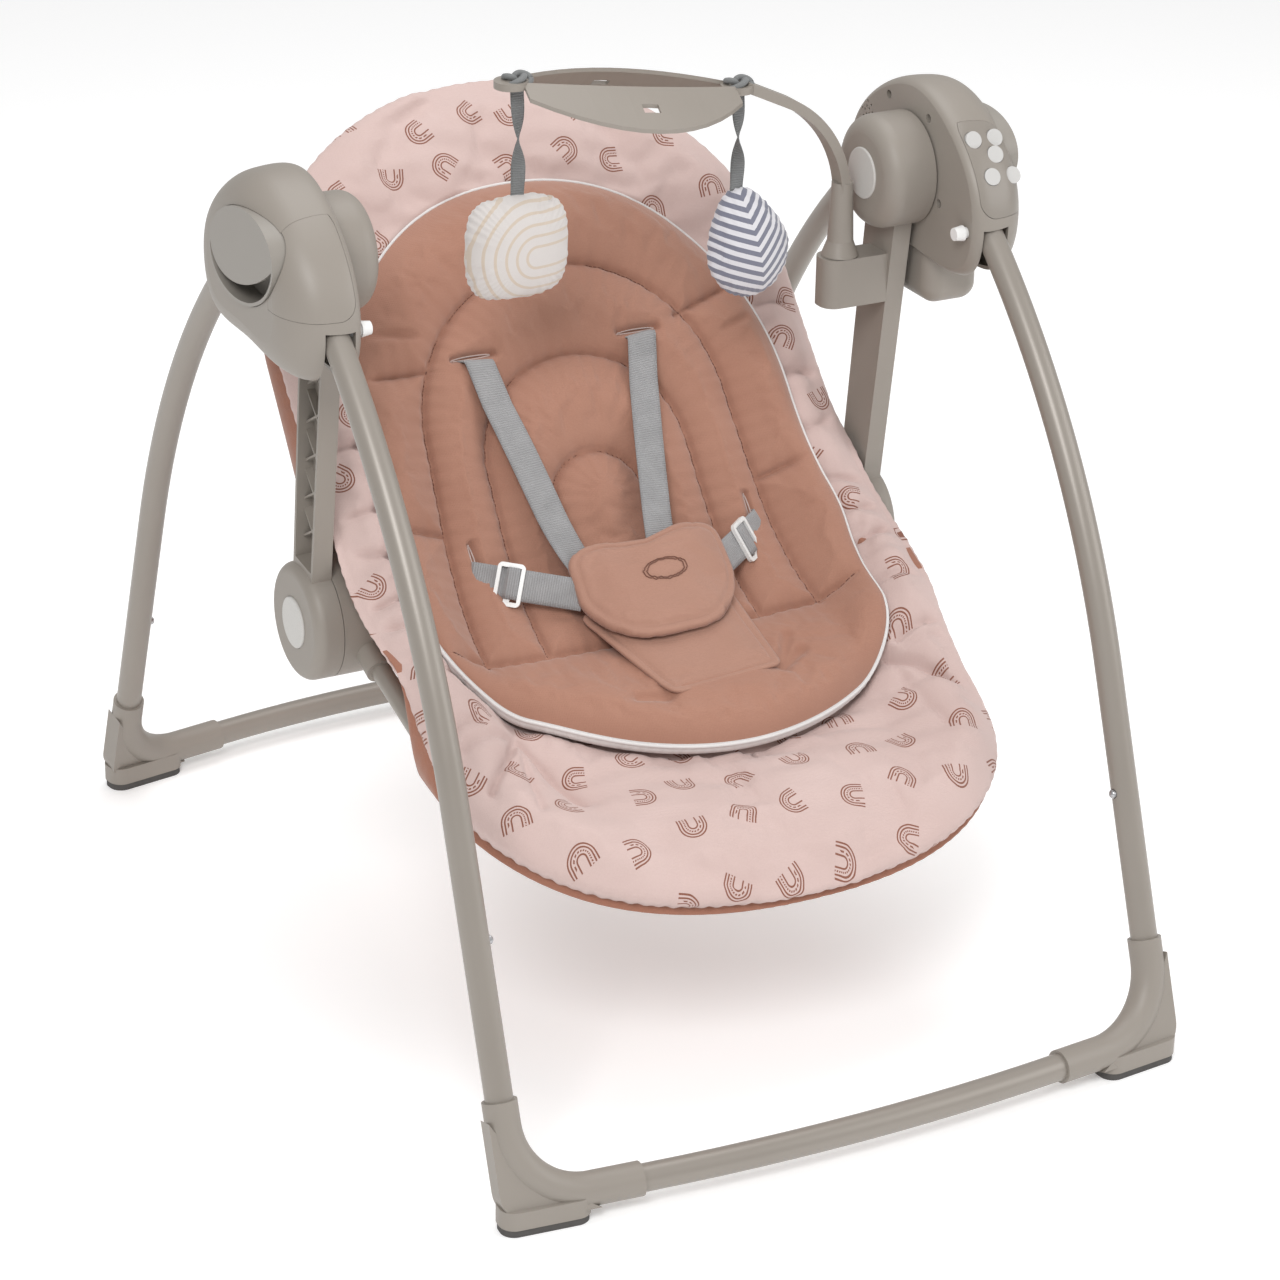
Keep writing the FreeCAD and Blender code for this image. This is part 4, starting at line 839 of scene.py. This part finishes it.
def seat_cover():
    """The pink padded cover with its clay coloured side and underside."""
    loop = leaned(outline(cover_half, COVER_LOW, COVER_HIGH, 900), cover_lean)
    seam = np.round(roll_share(loop) * (COVER_ROWS + 1))
    thing = pillow("seat_cover", loop, np.array([0.0, 40.0]), COVER_RINGS,
                   cover_face, cover_side, lower_face, COVER_ROWS, seam)
    place = flat_of(thing)
    x, l = place[:, 0], place[:, 1]
    top_count = 1 + COVER_RINGS * len(loop)
    pins = np.ones(len(x))
    edge = edge_distance(x[:top_count], l[:top_count], loop)
    free = smoothstep(0.92, 1.06, insert_gap(x[:top_count], l[:top_count])) * smoothstep(3, 20, edge)
    pins[:top_count] = 1 - free
    relax(thing, pins, 3.0, 0.02, 6.0, 4.0)
    finish_piece(thing, "seat", ["print", "clay_under"])
    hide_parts("seat_cover_back", "seat_cover_pan")
    return thing


def lower_face(x, l, edge):
    return cover_under(x, l) + waves(x, l, 70, 12) * 1.2 * smoothstep(10, 40, edge)


# ------------------------------------------------------------------ the newborn insert
INSERT_RINGS = 120      # rings of points over the insert's faces
INSERT_RIM = 13.0       # height of its rim above the cover
INSERT_THICK = 18.0     # how much thicker its middle is than its rim
FRONT_LIFT = 10.0       # how far its free front edge stands up


def quilt(x, l):
    """How far the quilting pulls the insert's face down, in mm."""
    pull = np.zeros(x.shape)
    for number, seam in enumerate(SEAMS):
        distance, along = to_line(x, l, seam)
        pucker = 1 + 0.05 * np.sin(2 * math.pi * along / (13.0 + number % 3))
        valley = 12.0 * np.exp(-distance / 13.0) * pucker
        pull = np.maximum(pull, valley + 3.0 * np.exp(-(distance / 2.2) ** 2))
    for fold in SOFT_FOLDS:
        distance, _ = to_line(x, l, fold)
        pull = np.maximum(pull, 4.5 * np.exp(-(distance / 5.0) ** 2))
    for side in (-1, 1):
        slot = SLOT_MIDDLE + side * SHOULDER_SLOT[0]
        mouth = to_line(x, l, [(slot - 17, SHOULDER_SLOT[1]), (slot + 17, SHOULDER_SLOT[1])])[0]
        slit = to_line(x, l, [(side * WAIST_SLIT[0], WAIST_SLIT[1] + 14),
                              (side * WAIST_SLIT[0], WAIST_SLIT[1] - 14)])[0]
        pull = np.maximum(pull, 6.5 * np.exp(-mouth / 8.0) + 5.0 * np.exp(-(mouth / 2.5) ** 2))
        pull = np.maximum(pull, 5.5 * np.exp(-slit / 7.0) + 5.0 * np.exp(-(slit / 2.5) ** 2))
    return pull


def insert_lift(l, edge):
    """The insert's free front edge stands up from the cover."""
    return FRONT_LIFT * smoothstep(-60, -130, l) * smoothstep(60, 0, edge)


def insert_crown(x, l, edge):
    """The insert's upper face before the quilting pulls it in: thick in the middle, thin at its edge."""
    base = cover_top(x, l) + INSERT_RIM + insert_lift(l, edge)
    thick = INSERT_THICK * (1 - np.exp(-np.maximum(edge, 0) / 10.0))
    head = 4.0 * smoothstep(120, 230, l) * smoothstep(0, 40, edge)
    return base + thick + head + 5.0 * smoothstep(0, 24, edge)


def insert_top(x, l, edge):
    """The insert's quilted upper face."""
    ripple = waves(x, l, 60, 21) * 0.7 + waves(x, l, 24, 22) * 0.25
    return insert_crown(x, l, edge) + (ripple - quilt(x, l)) * smoothstep(0, 24, edge)


def insert_side(t, height, loop):
    run = np.arange(len(loop)) * np.hypot(*(loop[1] - loop[0]))
    return 1.8 * math.sin(math.pi * t) + 0.25 * np.sin(2 * math.pi * run / 8.0)


def insert_low(x, l, edge):
    return cover_top(x, l) + 1.0 + (1.0 + insert_lift(l, edge)) * smoothstep(16, 0, edge)


def insert():
    """The quilted insert: clay above, white along its lower edge and below."""
    loop = leaned(outline(insert_half, INSERT_LOW, INSERT_HIGH, 800), insert_lean)
    seam = np.where(loop[:, 1] < INSERT_ROUND_LOW, 0, 2)
    thing = pillow("newborn_insert", loop, np.array([0.0, 80.0]), INSERT_RINGS,
                   insert_top, insert_side, insert_low, 5, seam)
    place = flat_of(thing)
    x, l = place[:, 0], place[:, 1]
    top_count = 1 + INSERT_RINGS * len(loop)
    pins = np.ones(len(x))
    edge = edge_distance(x[:top_count], l[:top_count], loop)
    pull = quilt(x[:top_count], l[:top_count])
    pins[:top_count] = 1 - smoothstep(4, 16, edge) * smoothstep(4.5, 1.0, pull)
    relax(thing, pins, 4.0, 0.02, 5.0, 5.0)
    finish_piece(thing, "seat", ["clay", "trim"])
    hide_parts("insert_cushion")
    return thing


# ------------------------------------------------------------------ stitched details on the insert
def on_insert(x, l, lift):
    """Points just above the insert's upper face."""
    x, l = np.asarray(x, float), np.asarray(l, float)
    edge = to_line(x, l, INSERT_LOOP)[0]
    return seat_surface(x, l, insert_top(x, l, edge) + lift)


INSERT_LOOP = [tuple(p) for p in leaned(outline(insert_half, INSERT_LOW, INSERT_HIGH, 200), insert_lean)]


def tube_mesh(name, path, radius, sides=8, closed=False):
    """A round cord along a path of 3D points, in metres."""
    path = np.array(path)
    count = len(path)
    ahead = np.roll(path, -1, axis=0) - np.roll(path, 1, axis=0)
    if not closed:
        ahead[0], ahead[-1] = path[1] - path[0], path[-1] - path[-2]
    ahead /= np.linalg.norm(ahead, axis=1)[:, None]
    points = []
    across = np.cross(ahead[0], [0.31, 0.52, 0.79])
    for place, run in zip(path, ahead):
        across = across - run * (across @ run)
        across /= np.linalg.norm(across)
        other = np.cross(run, across)
        for i in range(sides):
            turn = 2 * math.pi * i / sides
            points.append(place + radius * (math.cos(turn) * across + math.sin(turn) * other))
    faces = []
    for a in range(count if closed else count - 1):
        b = (a + 1) % count
        for i in range(sides):
            j = (i + 1) % sides
            faces.append((a * sides + i, a * sides + j, b * sides + j, b * sides + i))
    if not closed:
        faces.append(tuple(range(sides - 1, -1, -1)))
        faces.append(tuple(range((count - 1) * sides, count * sides)))
    return new_mesh(name, points, faces)


def merge(name, things):
    """Join several new meshes into one piece."""
    bpy.ops.object.select_all(action="DESELECT")
    for thing in things:
        thing.select_set(True)
    bpy.context.view_layer.objects.active = things[0]
    bpy.ops.object.join()
    things[0].name = name
    things[0].select_set(False)
    return things[0]


def stitch_row(name, line, pitch=3.6, length=2.5, lift=0.35, radius=0.35):
    """A row of short stitches along a flat polyline on the insert."""
    stitches = []
    line = np.array(line, float)
    gaps = np.hypot(*np.diff(line, axis=0).T)
    run = np.concatenate([[0], np.cumsum(gaps)])
    for start in np.arange(0, run[-1] - length, pitch):
        marks = np.array([start, start + length / 2, start + length])
        x = np.interp(marks, run, line[:, 0])
        l = np.interp(marks, run, line[:, 1])
        stitches.append(tube_mesh(name, on_insert(x, l, lift), radius * MM, 5))
    return merge(name, stitches)


def slot_edges():
    """Bound mouths of the strap slots: a thin pale welt around each."""
    welts = []
    for side in (-1, 1):
        x0, l0 = SLOT_MIDDLE + side * SHOULDER_SLOT[0], SHOULDER_SLOT[1]
        turn = np.linspace(0, 2 * math.pi, 40, endpoint=False)
        welts.append(tube_mesh("welt", on_insert(x0 + 17 * np.cos(turn), l0 + 1.3 * np.sin(turn), 0.5),
                               0.6 * MM, 6, True))
        x0, l0 = side * WAIST_SLIT[0], WAIST_SLIT[1]
        welts.append(tube_mesh("welt", on_insert(x0 + 1.3 * np.cos(turn), l0 + 15 * np.sin(turn), 0.5),
                               0.6 * MM, 6, True))
    thing = merge("slot_welts", welts)
    finish_piece(thing, "seat", ["thread_white"])
    return thing


def seam_stitches():
    """The fine stitch rows that show along the main quilting seams."""
    rows = [stitch_row("stitch", seam, lift=0.6, radius=0.42) for seam in SEAMS[:4]]
    thing = merge("seam_stitches", rows)
    finish_piece(thing, "seat", ["thread"])
    return thing


def edge_binding():
    """The thin corded seam where the clay face meets the white underside."""
    loop = leaned(outline(insert_half, INSERT_LOW, INSERT_HIGH, 700), insert_lean)
    normal = loop_normals(loop)
    place = loop + normal * 1.3
    off = cover_top(loop[:, 0], loop[:, 1]) + insert_lift(loop[:, 1], 0.0) + 11.0
    thing = tube_mesh("insert_binding", seat_surface(place[:, 0], place[:, 1], off), 1.4 * MM, 8, True)
    finish_piece(thing, "seat", ["trim"])
    return thing


# ------------------------------------------------------------------ harness
def back_point(x, s, off):
    """A point on the backrest plane: s up the plane from the recline axis, off along its normal."""
    y = RECLINE.y / MM + BACK_DIR[0] * s + BACK_UP[0] * off
    z = RECLINE.z / MM + BACK_DIR[1] * s + BACK_UP[1] * off
    return np.array([x, y, z]) * MM


def ribbon(name, centres, sides, width, thick, rows=7):
    """A flat strap through centre points, each with its own direction across; stores flat coordinates."""
    centres = np.array(centres)
    sides = np.array(sides) / np.linalg.norm(np.array(sides), axis=1)[:, None]
    ahead = np.gradient(centres, axis=0)
    ahead /= np.linalg.norm(ahead, axis=1)[:, None]
    up = np.cross(ahead, sides)
    up /= np.linalg.norm(up, axis=1)[:, None]
    run = np.concatenate([[0], np.cumsum(np.linalg.norm(np.diff(centres, axis=0), axis=1))])
    section = []
    for i in range(rows):
        section.append((-1 + 2 * i / (rows - 1), 0.5))
    for i in range(rows):
        section.append((1 - 2 * i / (rows - 1), -0.5))
    points, flat = [], []
    for place, side, lift, far in zip(centres, sides, up, run):
        for across, level in section:
            soft = level * (0.55 if abs(across) > 0.99 else 1.0)
            points.append(place + side * (across * width / 2 * MM) + lift * (soft * thick * MM))
            flat.append((across * width / 2 * MM, far))
    faces = []
    size = len(section)
    for a in range(len(centres) - 1):
        for i in range(size):
            j = (i + 1) % size
            faces.append((a * size + i, a * size + j, (a + 1) * size + j, (a + 1) * size + i))
    faces.append(tuple(range(size - 1, -1, -1)))
    faces.append(tuple(range((len(centres) - 1) * size, len(centres) * size)))
    thing = new_mesh(name, points, faces)
    store(thing, "flat", np.array(flat))
    outward(thing)
    return thing


STRAP_WIDTH = 25.0
SHOULDER_RUN = 199.0        # how far the shoulder straps run down the seat
PAD_STRAP_MIDDLE = -13.0    # where the two straps reach the waist pad, and half their distance there
PAD_STRAP_HALF = 34.0


def shoulder_straps():
    """Two straps from the slots, over the cushion, into the top of the waist pad."""
    made = []
    for side in (-1, 1):
        t = np.linspace(0, 1, 70)
        top = SLOT_MIDDLE + side * SHOULDER_SLOT[0]
        low = PAD_STRAP_MIDDLE + side * PAD_STRAP_HALF
        x = top * (1 - t) + low * t
        l = SHOULDER_SLOT[1] - SHOULDER_RUN * t
        off = 9.0 + 20.0 * t ** 1.6 + 4.0 * np.sin(math.pi * t) + 1.2 * np.sin(7.0 * t + side)
        rest = insert_crown(x, l, to_line(x, l, INSERT_LOOP)[0]) + 3.0
        off = np.maximum(off, rest)
        off = off - 18.0 * smoothstep(0.035, 0.0, t)
        centres = seat_surface(x, l, off)
        tilt = [Vector((1, 0, 0.10 * math.sin(5.0 * i / 69 + side))) for i in range(70)]
        made.append(ribbon("shoulder_strap", centres, tilt, STRAP_WIDTH, 1.5))
    thing = merge("shoulder_straps", made)
    finish_piece(thing, "seat", ["webbing"])
    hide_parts("harness_straps")
    return thing


def waist_straps():
    """Two straps from the side slits, through the sliders' bars, to the sides of the waist pad."""
    made = []
    wide = back_point(0, 1, 0) - back_point(0, 0, 0)
    for side in (-1, 1):
        outer = back_point(side * 128.0, -2.0, 57.0)
        inner = back_point(side * 66.0, -33.0, 86.0)
        run = inner - outer
        length = np.linalg.norm(run)
        ahead = run / length
        across = wide - ahead * (wide @ ahead)
        across /= np.linalg.norm(across)
        normal = np.cross(across, ahead)
        if normal[2] < 0:
            normal = -normal
        centres = []
        for i in range(130):
            t = -0.18 + 1.34 * i / 129
            along = (t - 0.42) * length / MM
            climb = 4.6 * smoothstep(7.0, 3.0, abs(along))
            sink = 26.0 * smoothstep(0.0, -0.16, t)
            centres.append(outer + run * t + normal * (climb - sink) * MM)
        made.append(ribbon("waist_strap", centres, [across] * 130, STRAP_WIDTH, 1.4))
    thing = merge("waist_straps", made)
    finish_piece(thing, "seat", ["webbing"])
    return thing


PAD_HALF = 68.0
PAD_TOP, PAD_LOW = 50.0, 55.0
PAD_THICK = 13.0
PAD_CENTRE = (7.0, -27.0)


def pad_outline(count):
    """The waist pad's outline: wide and shallowly notched at the top, narrowing to a rounded lip."""
    loop = []
    for i in range(count):
        turn = 2 * math.pi * i / count
        c, s = math.cos(turn), math.sin(turn)
        power = 2 / 6.0 if s > 0 else 2 / 3.6
        x = PAD_HALF * squared(c, power)
        y = squared(s, power)
        if y > 0:
            loop.append((x, y * (PAD_TOP - 8.0 * math.exp(-((x + 4) / 22.0) ** 2))))
        else:
            loop.append((x * (1 - 0.32 * abs(y) ** 1.4), y * PAD_LOW))
    return np.array(loop)


def two_sided_faces(count, rings):
    """Faces of two ringed discs, the second one turned over, joined along their rims."""
    faces = []
    base = 1 + rings * count
    for start, flip in ((0, False), (base, True)):
        for i in range(count):
            j = (i + 1) % count
            fan = (start, start + 1 + i, start + 1 + j)
            faces.append(fan[::-1] if flip else fan)
        for ring in range(rings - 1):
            a, b = start + 1 + ring * count, start + 1 + (ring + 1) * count
            for i in range(count):
                j = (i + 1) % count
                quad = (a + i, b + i, b + j, a + j)
                faces.append(quad[::-1] if flip else quad)
    a, b = 1 + (rings - 1) * count, base + 1 + (rings - 1) * count
    for i in range(count):
        j = (i + 1) % count
        faces.append((a + i, b + i, b + j, a + j))
    return faces


def flat_pad(name, loop, rings, place, thick, droop):
    """A padded flat shape in its own plane: place turns flat x, y and height into metres."""
    flat = [np.zeros((1, 2))] + [loop * ((i / rings) ** 0.85) for i in range(1, rings + 1)]
    flat = np.concatenate(flat)
    edge = edge_distance(flat[:, 0], flat[:, 1], loop)
    swell = thick / 2 * (0.35 + 0.65 * (1 - np.exp(-edge / 7.0)))
    stitch = 1.6 * np.exp(-((edge - 5.5) / 1.1) ** 2)
    wave = waves(flat[:, 0], flat[:, 1], 42, 31) * 0.8
    upper = swell - stitch + wave + droop(flat)
    lower = -swell + stitch + wave + droop(flat)
    points = np.concatenate([place(flat, upper), place(flat, lower)])
    thing = new_mesh(name, points, two_sided_faces(len(loop), rings))
    store(thing, "flat", np.concatenate([flat, flat]) * MM)
    outward(thing)
    pins = np.concatenate([np.exp(-(edge - 5.5) ** 2 / 8.0) * 0.6] * 2)
    relax(thing, pins, 3.0, 0.02, 3.0, 3.0, 14)
    return thing


def pad_place(flat, height):
    """The waist pad lying over the crease of the seat, its sides wrapped slightly back."""
    x = PAD_CENTRE[0] + flat[:, 0]
    l = PAD_CENTRE[1] + flat[:, 1] + 0.05 * flat[:, 0]
    sides = -7.0 * (np.abs(flat[:, 0]) / 65.0) ** 2.2
    base = 27.0 + 9.0 * smoothstep(-60, 40, flat[:, 1])
    return seat_surface(x, l, base + sides + height)


def pad_droop(flat):
    """Gentle creases that run down from the two shoulder straps."""
    return 1.8 * np.sin(flat[:, 0] / 15.0) * smoothstep(-10, 45, flat[:, 1])


def on_pad(pad, spots, lift):
    """Points just above the settled pad's upper face, for flat points on it."""
    count = len(pad.data.vertices) // 2
    places = np.empty(len(pad.data.vertices) * 3)
    pad.data.vertices.foreach_get("co", places)
    places = places.reshape(-1, 3)[:count]
    pattern = flat_of(pad)[:count]
    found = []
    for spot in spots:
        distance = np.hypot(*(pattern - spot).T)
        near = np.argsort(distance, kind="stable")[:8]
        weight = 1.0 / (distance[near] ** 2 + 0.5)
        found.append((places[near] * weight[:, None]).sum(axis=0) / weight.sum())
    up = pad_place(spots, 1.0) - pad_place(spots, 0.0)
    up /= np.linalg.norm(up, axis=1)[:, None]
    return np.array(found) + up * lift * MM


def waist_pad():
    """The padded tongue over the child's waist, top-stitched, with a plain oval patch."""
    thing = flat_pad("waist_pad", pad_outline(260), 34, pad_place, PAD_THICK, pad_droop)
    finish_piece(thing, "seat", ["clay_pad"])
    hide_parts("chest_pad")
    turn = np.linspace(0, 2 * math.pi, 60, endpoint=False)
    rings = []
    for scale in (1.0, 0.86):
        flat = np.stack([4.0 + 19.0 * scale * np.cos(turn), 3.0 + 11.0 * scale * np.sin(turn)], axis=1)
        rings.append(tube_mesh("patch_edge", on_pad(thing, flat, 0.35), 0.5 * MM, 6, True))
    patch = merge("pad_patch_edge", rings)
    finish_piece(patch, "seat", ["thread"])
    return thing


FLAP_LOW, FLAP_HIGH = -131.0, -34.0


def crotch_flap():
    """The flap between the legs: stitched down at the front, widening to where it passes under the pad."""
    loop = []
    for i in range(240):
        turn = 2 * math.pi * i / 240
        c, s = math.cos(turn), math.sin(turn)
        loop.append((50.0 * squared(c, 0.14), 48.0 * squared(s, 0.14)))

    def place(flat, height):
        up = (flat[:, 1] + 48.0) / 96.0
        l = FLAP_LOW + (FLAP_HIGH - FLAP_LOW) * up + 0.09 * flat[:, 0] * (1 - up)
        x = 24.0 - 19.0 * up + flat[:, 0] * (1.0 + 0.32 * up)
        edge = to_line(x, l, INSERT_LOOP)[0]
        ground = insert_crown(x, l, edge) + 3.5
        return seat_surface(x, l, np.maximum(ground, 8.0 + 6.0 * up) + height)

    thing = flat_pad("crotch_flap", np.array(loop), 30, place, 7.0, lambda flat: np.zeros(len(flat)))
    finish_piece(thing, "seat", ["clay_pad"])
    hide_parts("crotch_pad")
    return thing


# ------------------------------------------------------------------ toys
DROP_LEAN = 14.0        # degrees that the drop-shaped toy hangs off its strap's line
ROUND_HALF = (42.0, 40.5)       # half width and half height of the rounded square toy
DROP_WIDE, DROP_UP, DROP_DOWN = 35.0, 52.0, 38.0


def toy_body(name, outline_at, depth_at, middle, rings=40, count=200):
    """A stuffed toy with front and back faces over an upright outline; middle is its centre in mm."""
    points, flat = [], []
    for face in (-1, 1):
        points.append(middle + np.array([0, face * depth_at(0.0, 0.0, 0.0), 0]))
        flat.append((0.0, 0.0))
        for ring in range(1, rings + 1):
            share = (ring / rings) ** 0.8
            for i in range(count):
                turn = 2 * math.pi * i / count
                x, z = outline_at(turn)
                gather = 1 + 0.010 * math.sin(turn * 34 + 2 * math.sin(3 * turn)) * share ** 6
                x, z = x * share * gather, z * share * gather
                pucker = 0.8 * math.sin(turn * 34 + 2 * math.sin(3 * turn)) * share ** 5 * (1 - share)
                points.append(middle + np.array([x, face * (depth_at(share, x, z) + 4 * pucker), z]))
                flat.append((x * MM, z * MM))
    thing = new_mesh(name, np.array(points) * MM, two_sided_faces(count, rings))
    store(thing, "flat", np.array(flat))
    outward(thing)
    relax(thing, np.zeros(len(points)), 5.0, 0.03, 3.0, 4.0, 12)
    return thing


def hang_strap(name, top, length, width, turns):
    """A toy's flat strap, twisted on its way down."""
    centres, across = [], []
    for i in range(60):
        t = i / 59
        centres.append(top + Vector((1.5 * math.sin(3.0 * t) * MM, 0, -length * t * MM)))
        angle = turns * math.pi * smoothstep(0.1, 0.9, t)
        across.append((math.cos(angle), math.sin(angle), 0))
    return ribbon(name, [tuple(c) for c in centres], across, width, 1.1, 5)


def knot(name, centre, size):
    """A small knot of folded strap."""
    path = []
    for i in range(120):
        turn = 2 * math.pi * i / 120
        swing = 2.0 + math.cos(3 * turn)
        path.append((centre.x + size * 0.33 * swing * math.cos(2 * turn) * MM,
                     centre.y + size * 0.26 * swing * math.sin(2 * turn) * MM,
                     centre.z + size * 0.30 * math.sin(3 * turn) * MM))
    return tube_mesh(name, path, size * 0.22 * MM, 8, True)


def toy_middle(node):
    """The middle of a toy's widest level, in mm."""
    low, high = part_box(node)
    return np.array([(low.x + high.x) / 2, (low.y + high.y) / 2, low.z + 0.040]) / MM


def toys():
    """Both stuffed toys with their straps, and the knots that hold the straps on the ring."""
    knots = []
    hinge_left = Vector(joints["round_toy_swing"]["pos_m"])
    hinge_right = Vector(joints["drop_toy_swing"]["pos_m"])
    for hinge, node, strap_length, slot in ((hinge_left, "round_toy", 84.0, "toy_white"),
                                            (hinge_right, "drop_toy", 78.0, "toy_chevron")):
        strap = hang_strap(node + "_strap", hinge, strap_length + 4.0, 11.0, 1.0)
        finish_piece(strap, node, ["strap"])
        loop_top = hinge + Vector((0, 0, 9.0 * MM))
        knots.append(knot("toy_knot", loop_top, 11.0))
    tied = merge("toy_strap_knots", knots)
    finish_piece(tied, "toy_bar", ["strap"])

    middle = toy_middle("round_toy")

    def square(turn):
        c, s = math.cos(turn), math.sin(turn)
        power = 2 / 3.3
        return ROUND_HALF[0] * squared(c, power), ROUND_HALF[1] * squared(s, power)

    def puffed(share, x, z):
        return 1.0 + 17.5 * max(0.0, 1 - share ** 2.4) ** 0.62

    thing = toy_body("plush_round", square, puffed, middle)
    finish_piece(thing, "round_toy", ["toy_white"])
    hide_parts("round_toy")

    middle = toy_middle("drop_toy")

    def drop(turn):
        c, s = math.cos(turn), math.sin(turn)
        if s > 0:
            return DROP_WIDE * squared(c, 1.05) * (1 - 0.10 * s), DROP_UP * s ** 1.15
        return DROP_WIDE * c, DROP_DOWN * s

    def ridged(share, x, z):
        round_part = 1.0 + 17.5 * max(0.0, 1 - share ** 2.0) ** 0.75
        return round_part * (1 - 0.16 * min(1.0, abs(x) / 20.0)) + 1.5

    tip = middle + np.array([0, 0, DROP_UP])
    thing = toy_body("plush_drop", drop, ridged, middle)
    lean = Matrix.Rotation(math.radians(-DROP_LEAN), 4, "Y")
    about = Matrix.Translation(Vector(tip * MM))
    thing.data.transform(about @ lean @ about.inverted())
    finish_piece(thing, "drop_toy", ["toy_stripe"])
    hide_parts("drop_toy")


# ------------------------------------------------------------------ stage
LIT_POINT = Vector((0, 0, 0.4))
LIGHTS = (("key", (-1.9, -2.4, 3.0), 1.6, 78.0),       # place, size and power
          ("fill", (2.4, -2.0, 1.8), 2.4, 34.0),
          ("top", (0.3, 0.6, 3.4), 2.6, 44.0))
CAMERA_PLACE = Vector((-1.3491, -2.59277, 1.5848))
CAMERA_TARGET = Vector((0.16312, 0.25210, 0.1069))
CAMERA_LENS = 113.09
CAMERA_ROLL = math.radians(-1.09)


def area_light(name, place, size, power):
    """A round, white soft light aimed at the middle of the swing."""
    data = bpy.data.lights.new(name, "AREA")
    data.shape = "DISK"
    data.size = size
    data.energy = power
    data.color = (1.0, 1.0, 1.0)
    light = bpy.data.objects.new(name, data)
    light.location = place
    light.rotation_euler = (LIT_POINT - Vector(place)).to_track_quat("-Z", "Y").to_euler()
    bpy.context.scene.collection.objects.link(light)


def floor():
    """A plain, pale floor."""
    bpy.ops.mesh.primitive_plane_add(size=24, location=(0, 0, 0))
    thing = bpy.context.object
    thing.name = "floor"
    material, _, shader, _, _ = graph("floor_pale")
    constants(shader, Base_Color=(0.92, 0.92, 0.92, 1.0), Emission_Color=(1.0, 1.0, 1.0, 1.0),
              Emission_Strength=0.22, Roughness=0.75)
    thing.data.materials.append(material)


def studio():
    """Soft, even studio light from above and the front left."""
    world = bpy.data.worlds.new("studio")
    bpy.context.scene.world = world
    world.use_nodes = True
    world.node_tree.nodes["Background"].inputs[0].default_value = (1.0, 1.0, 1.0, 1.0)
    world.node_tree.nodes["Background"].inputs[1].default_value = 0.50
    for name, place, size, power in LIGHTS:
        area_light(name, place, size, power)


def photo_camera():
    """The camera at the product view: slightly from above, from the front and the left."""
    data = bpy.data.cameras.new("camera")
    data.lens = CAMERA_LENS
    data.sensor_width = 36.0
    camera = bpy.data.objects.new("camera", data)
    aim = (CAMERA_TARGET - CAMERA_PLACE).normalized()
    turn = aim.to_track_quat("-Z", "Y").to_matrix()
    roll = Matrix.Rotation(CAMERA_ROLL, 3, aim)
    camera.matrix_world = Matrix.Translation(CAMERA_PLACE) @ (roll @ turn).to_4x4()
    bpy.context.scene.collection.objects.link(camera)
    bpy.context.scene.camera = camera


dress_cad()
seat_cover()
insert()
edge_binding()
slot_edges()
seam_stitches()
shoulder_straps()
waist_straps()
waist_pad()
crotch_flap()
toys()
floor()
studio()
photo_camera()
bpy.context.scene.view_settings.view_transform = "Standard"
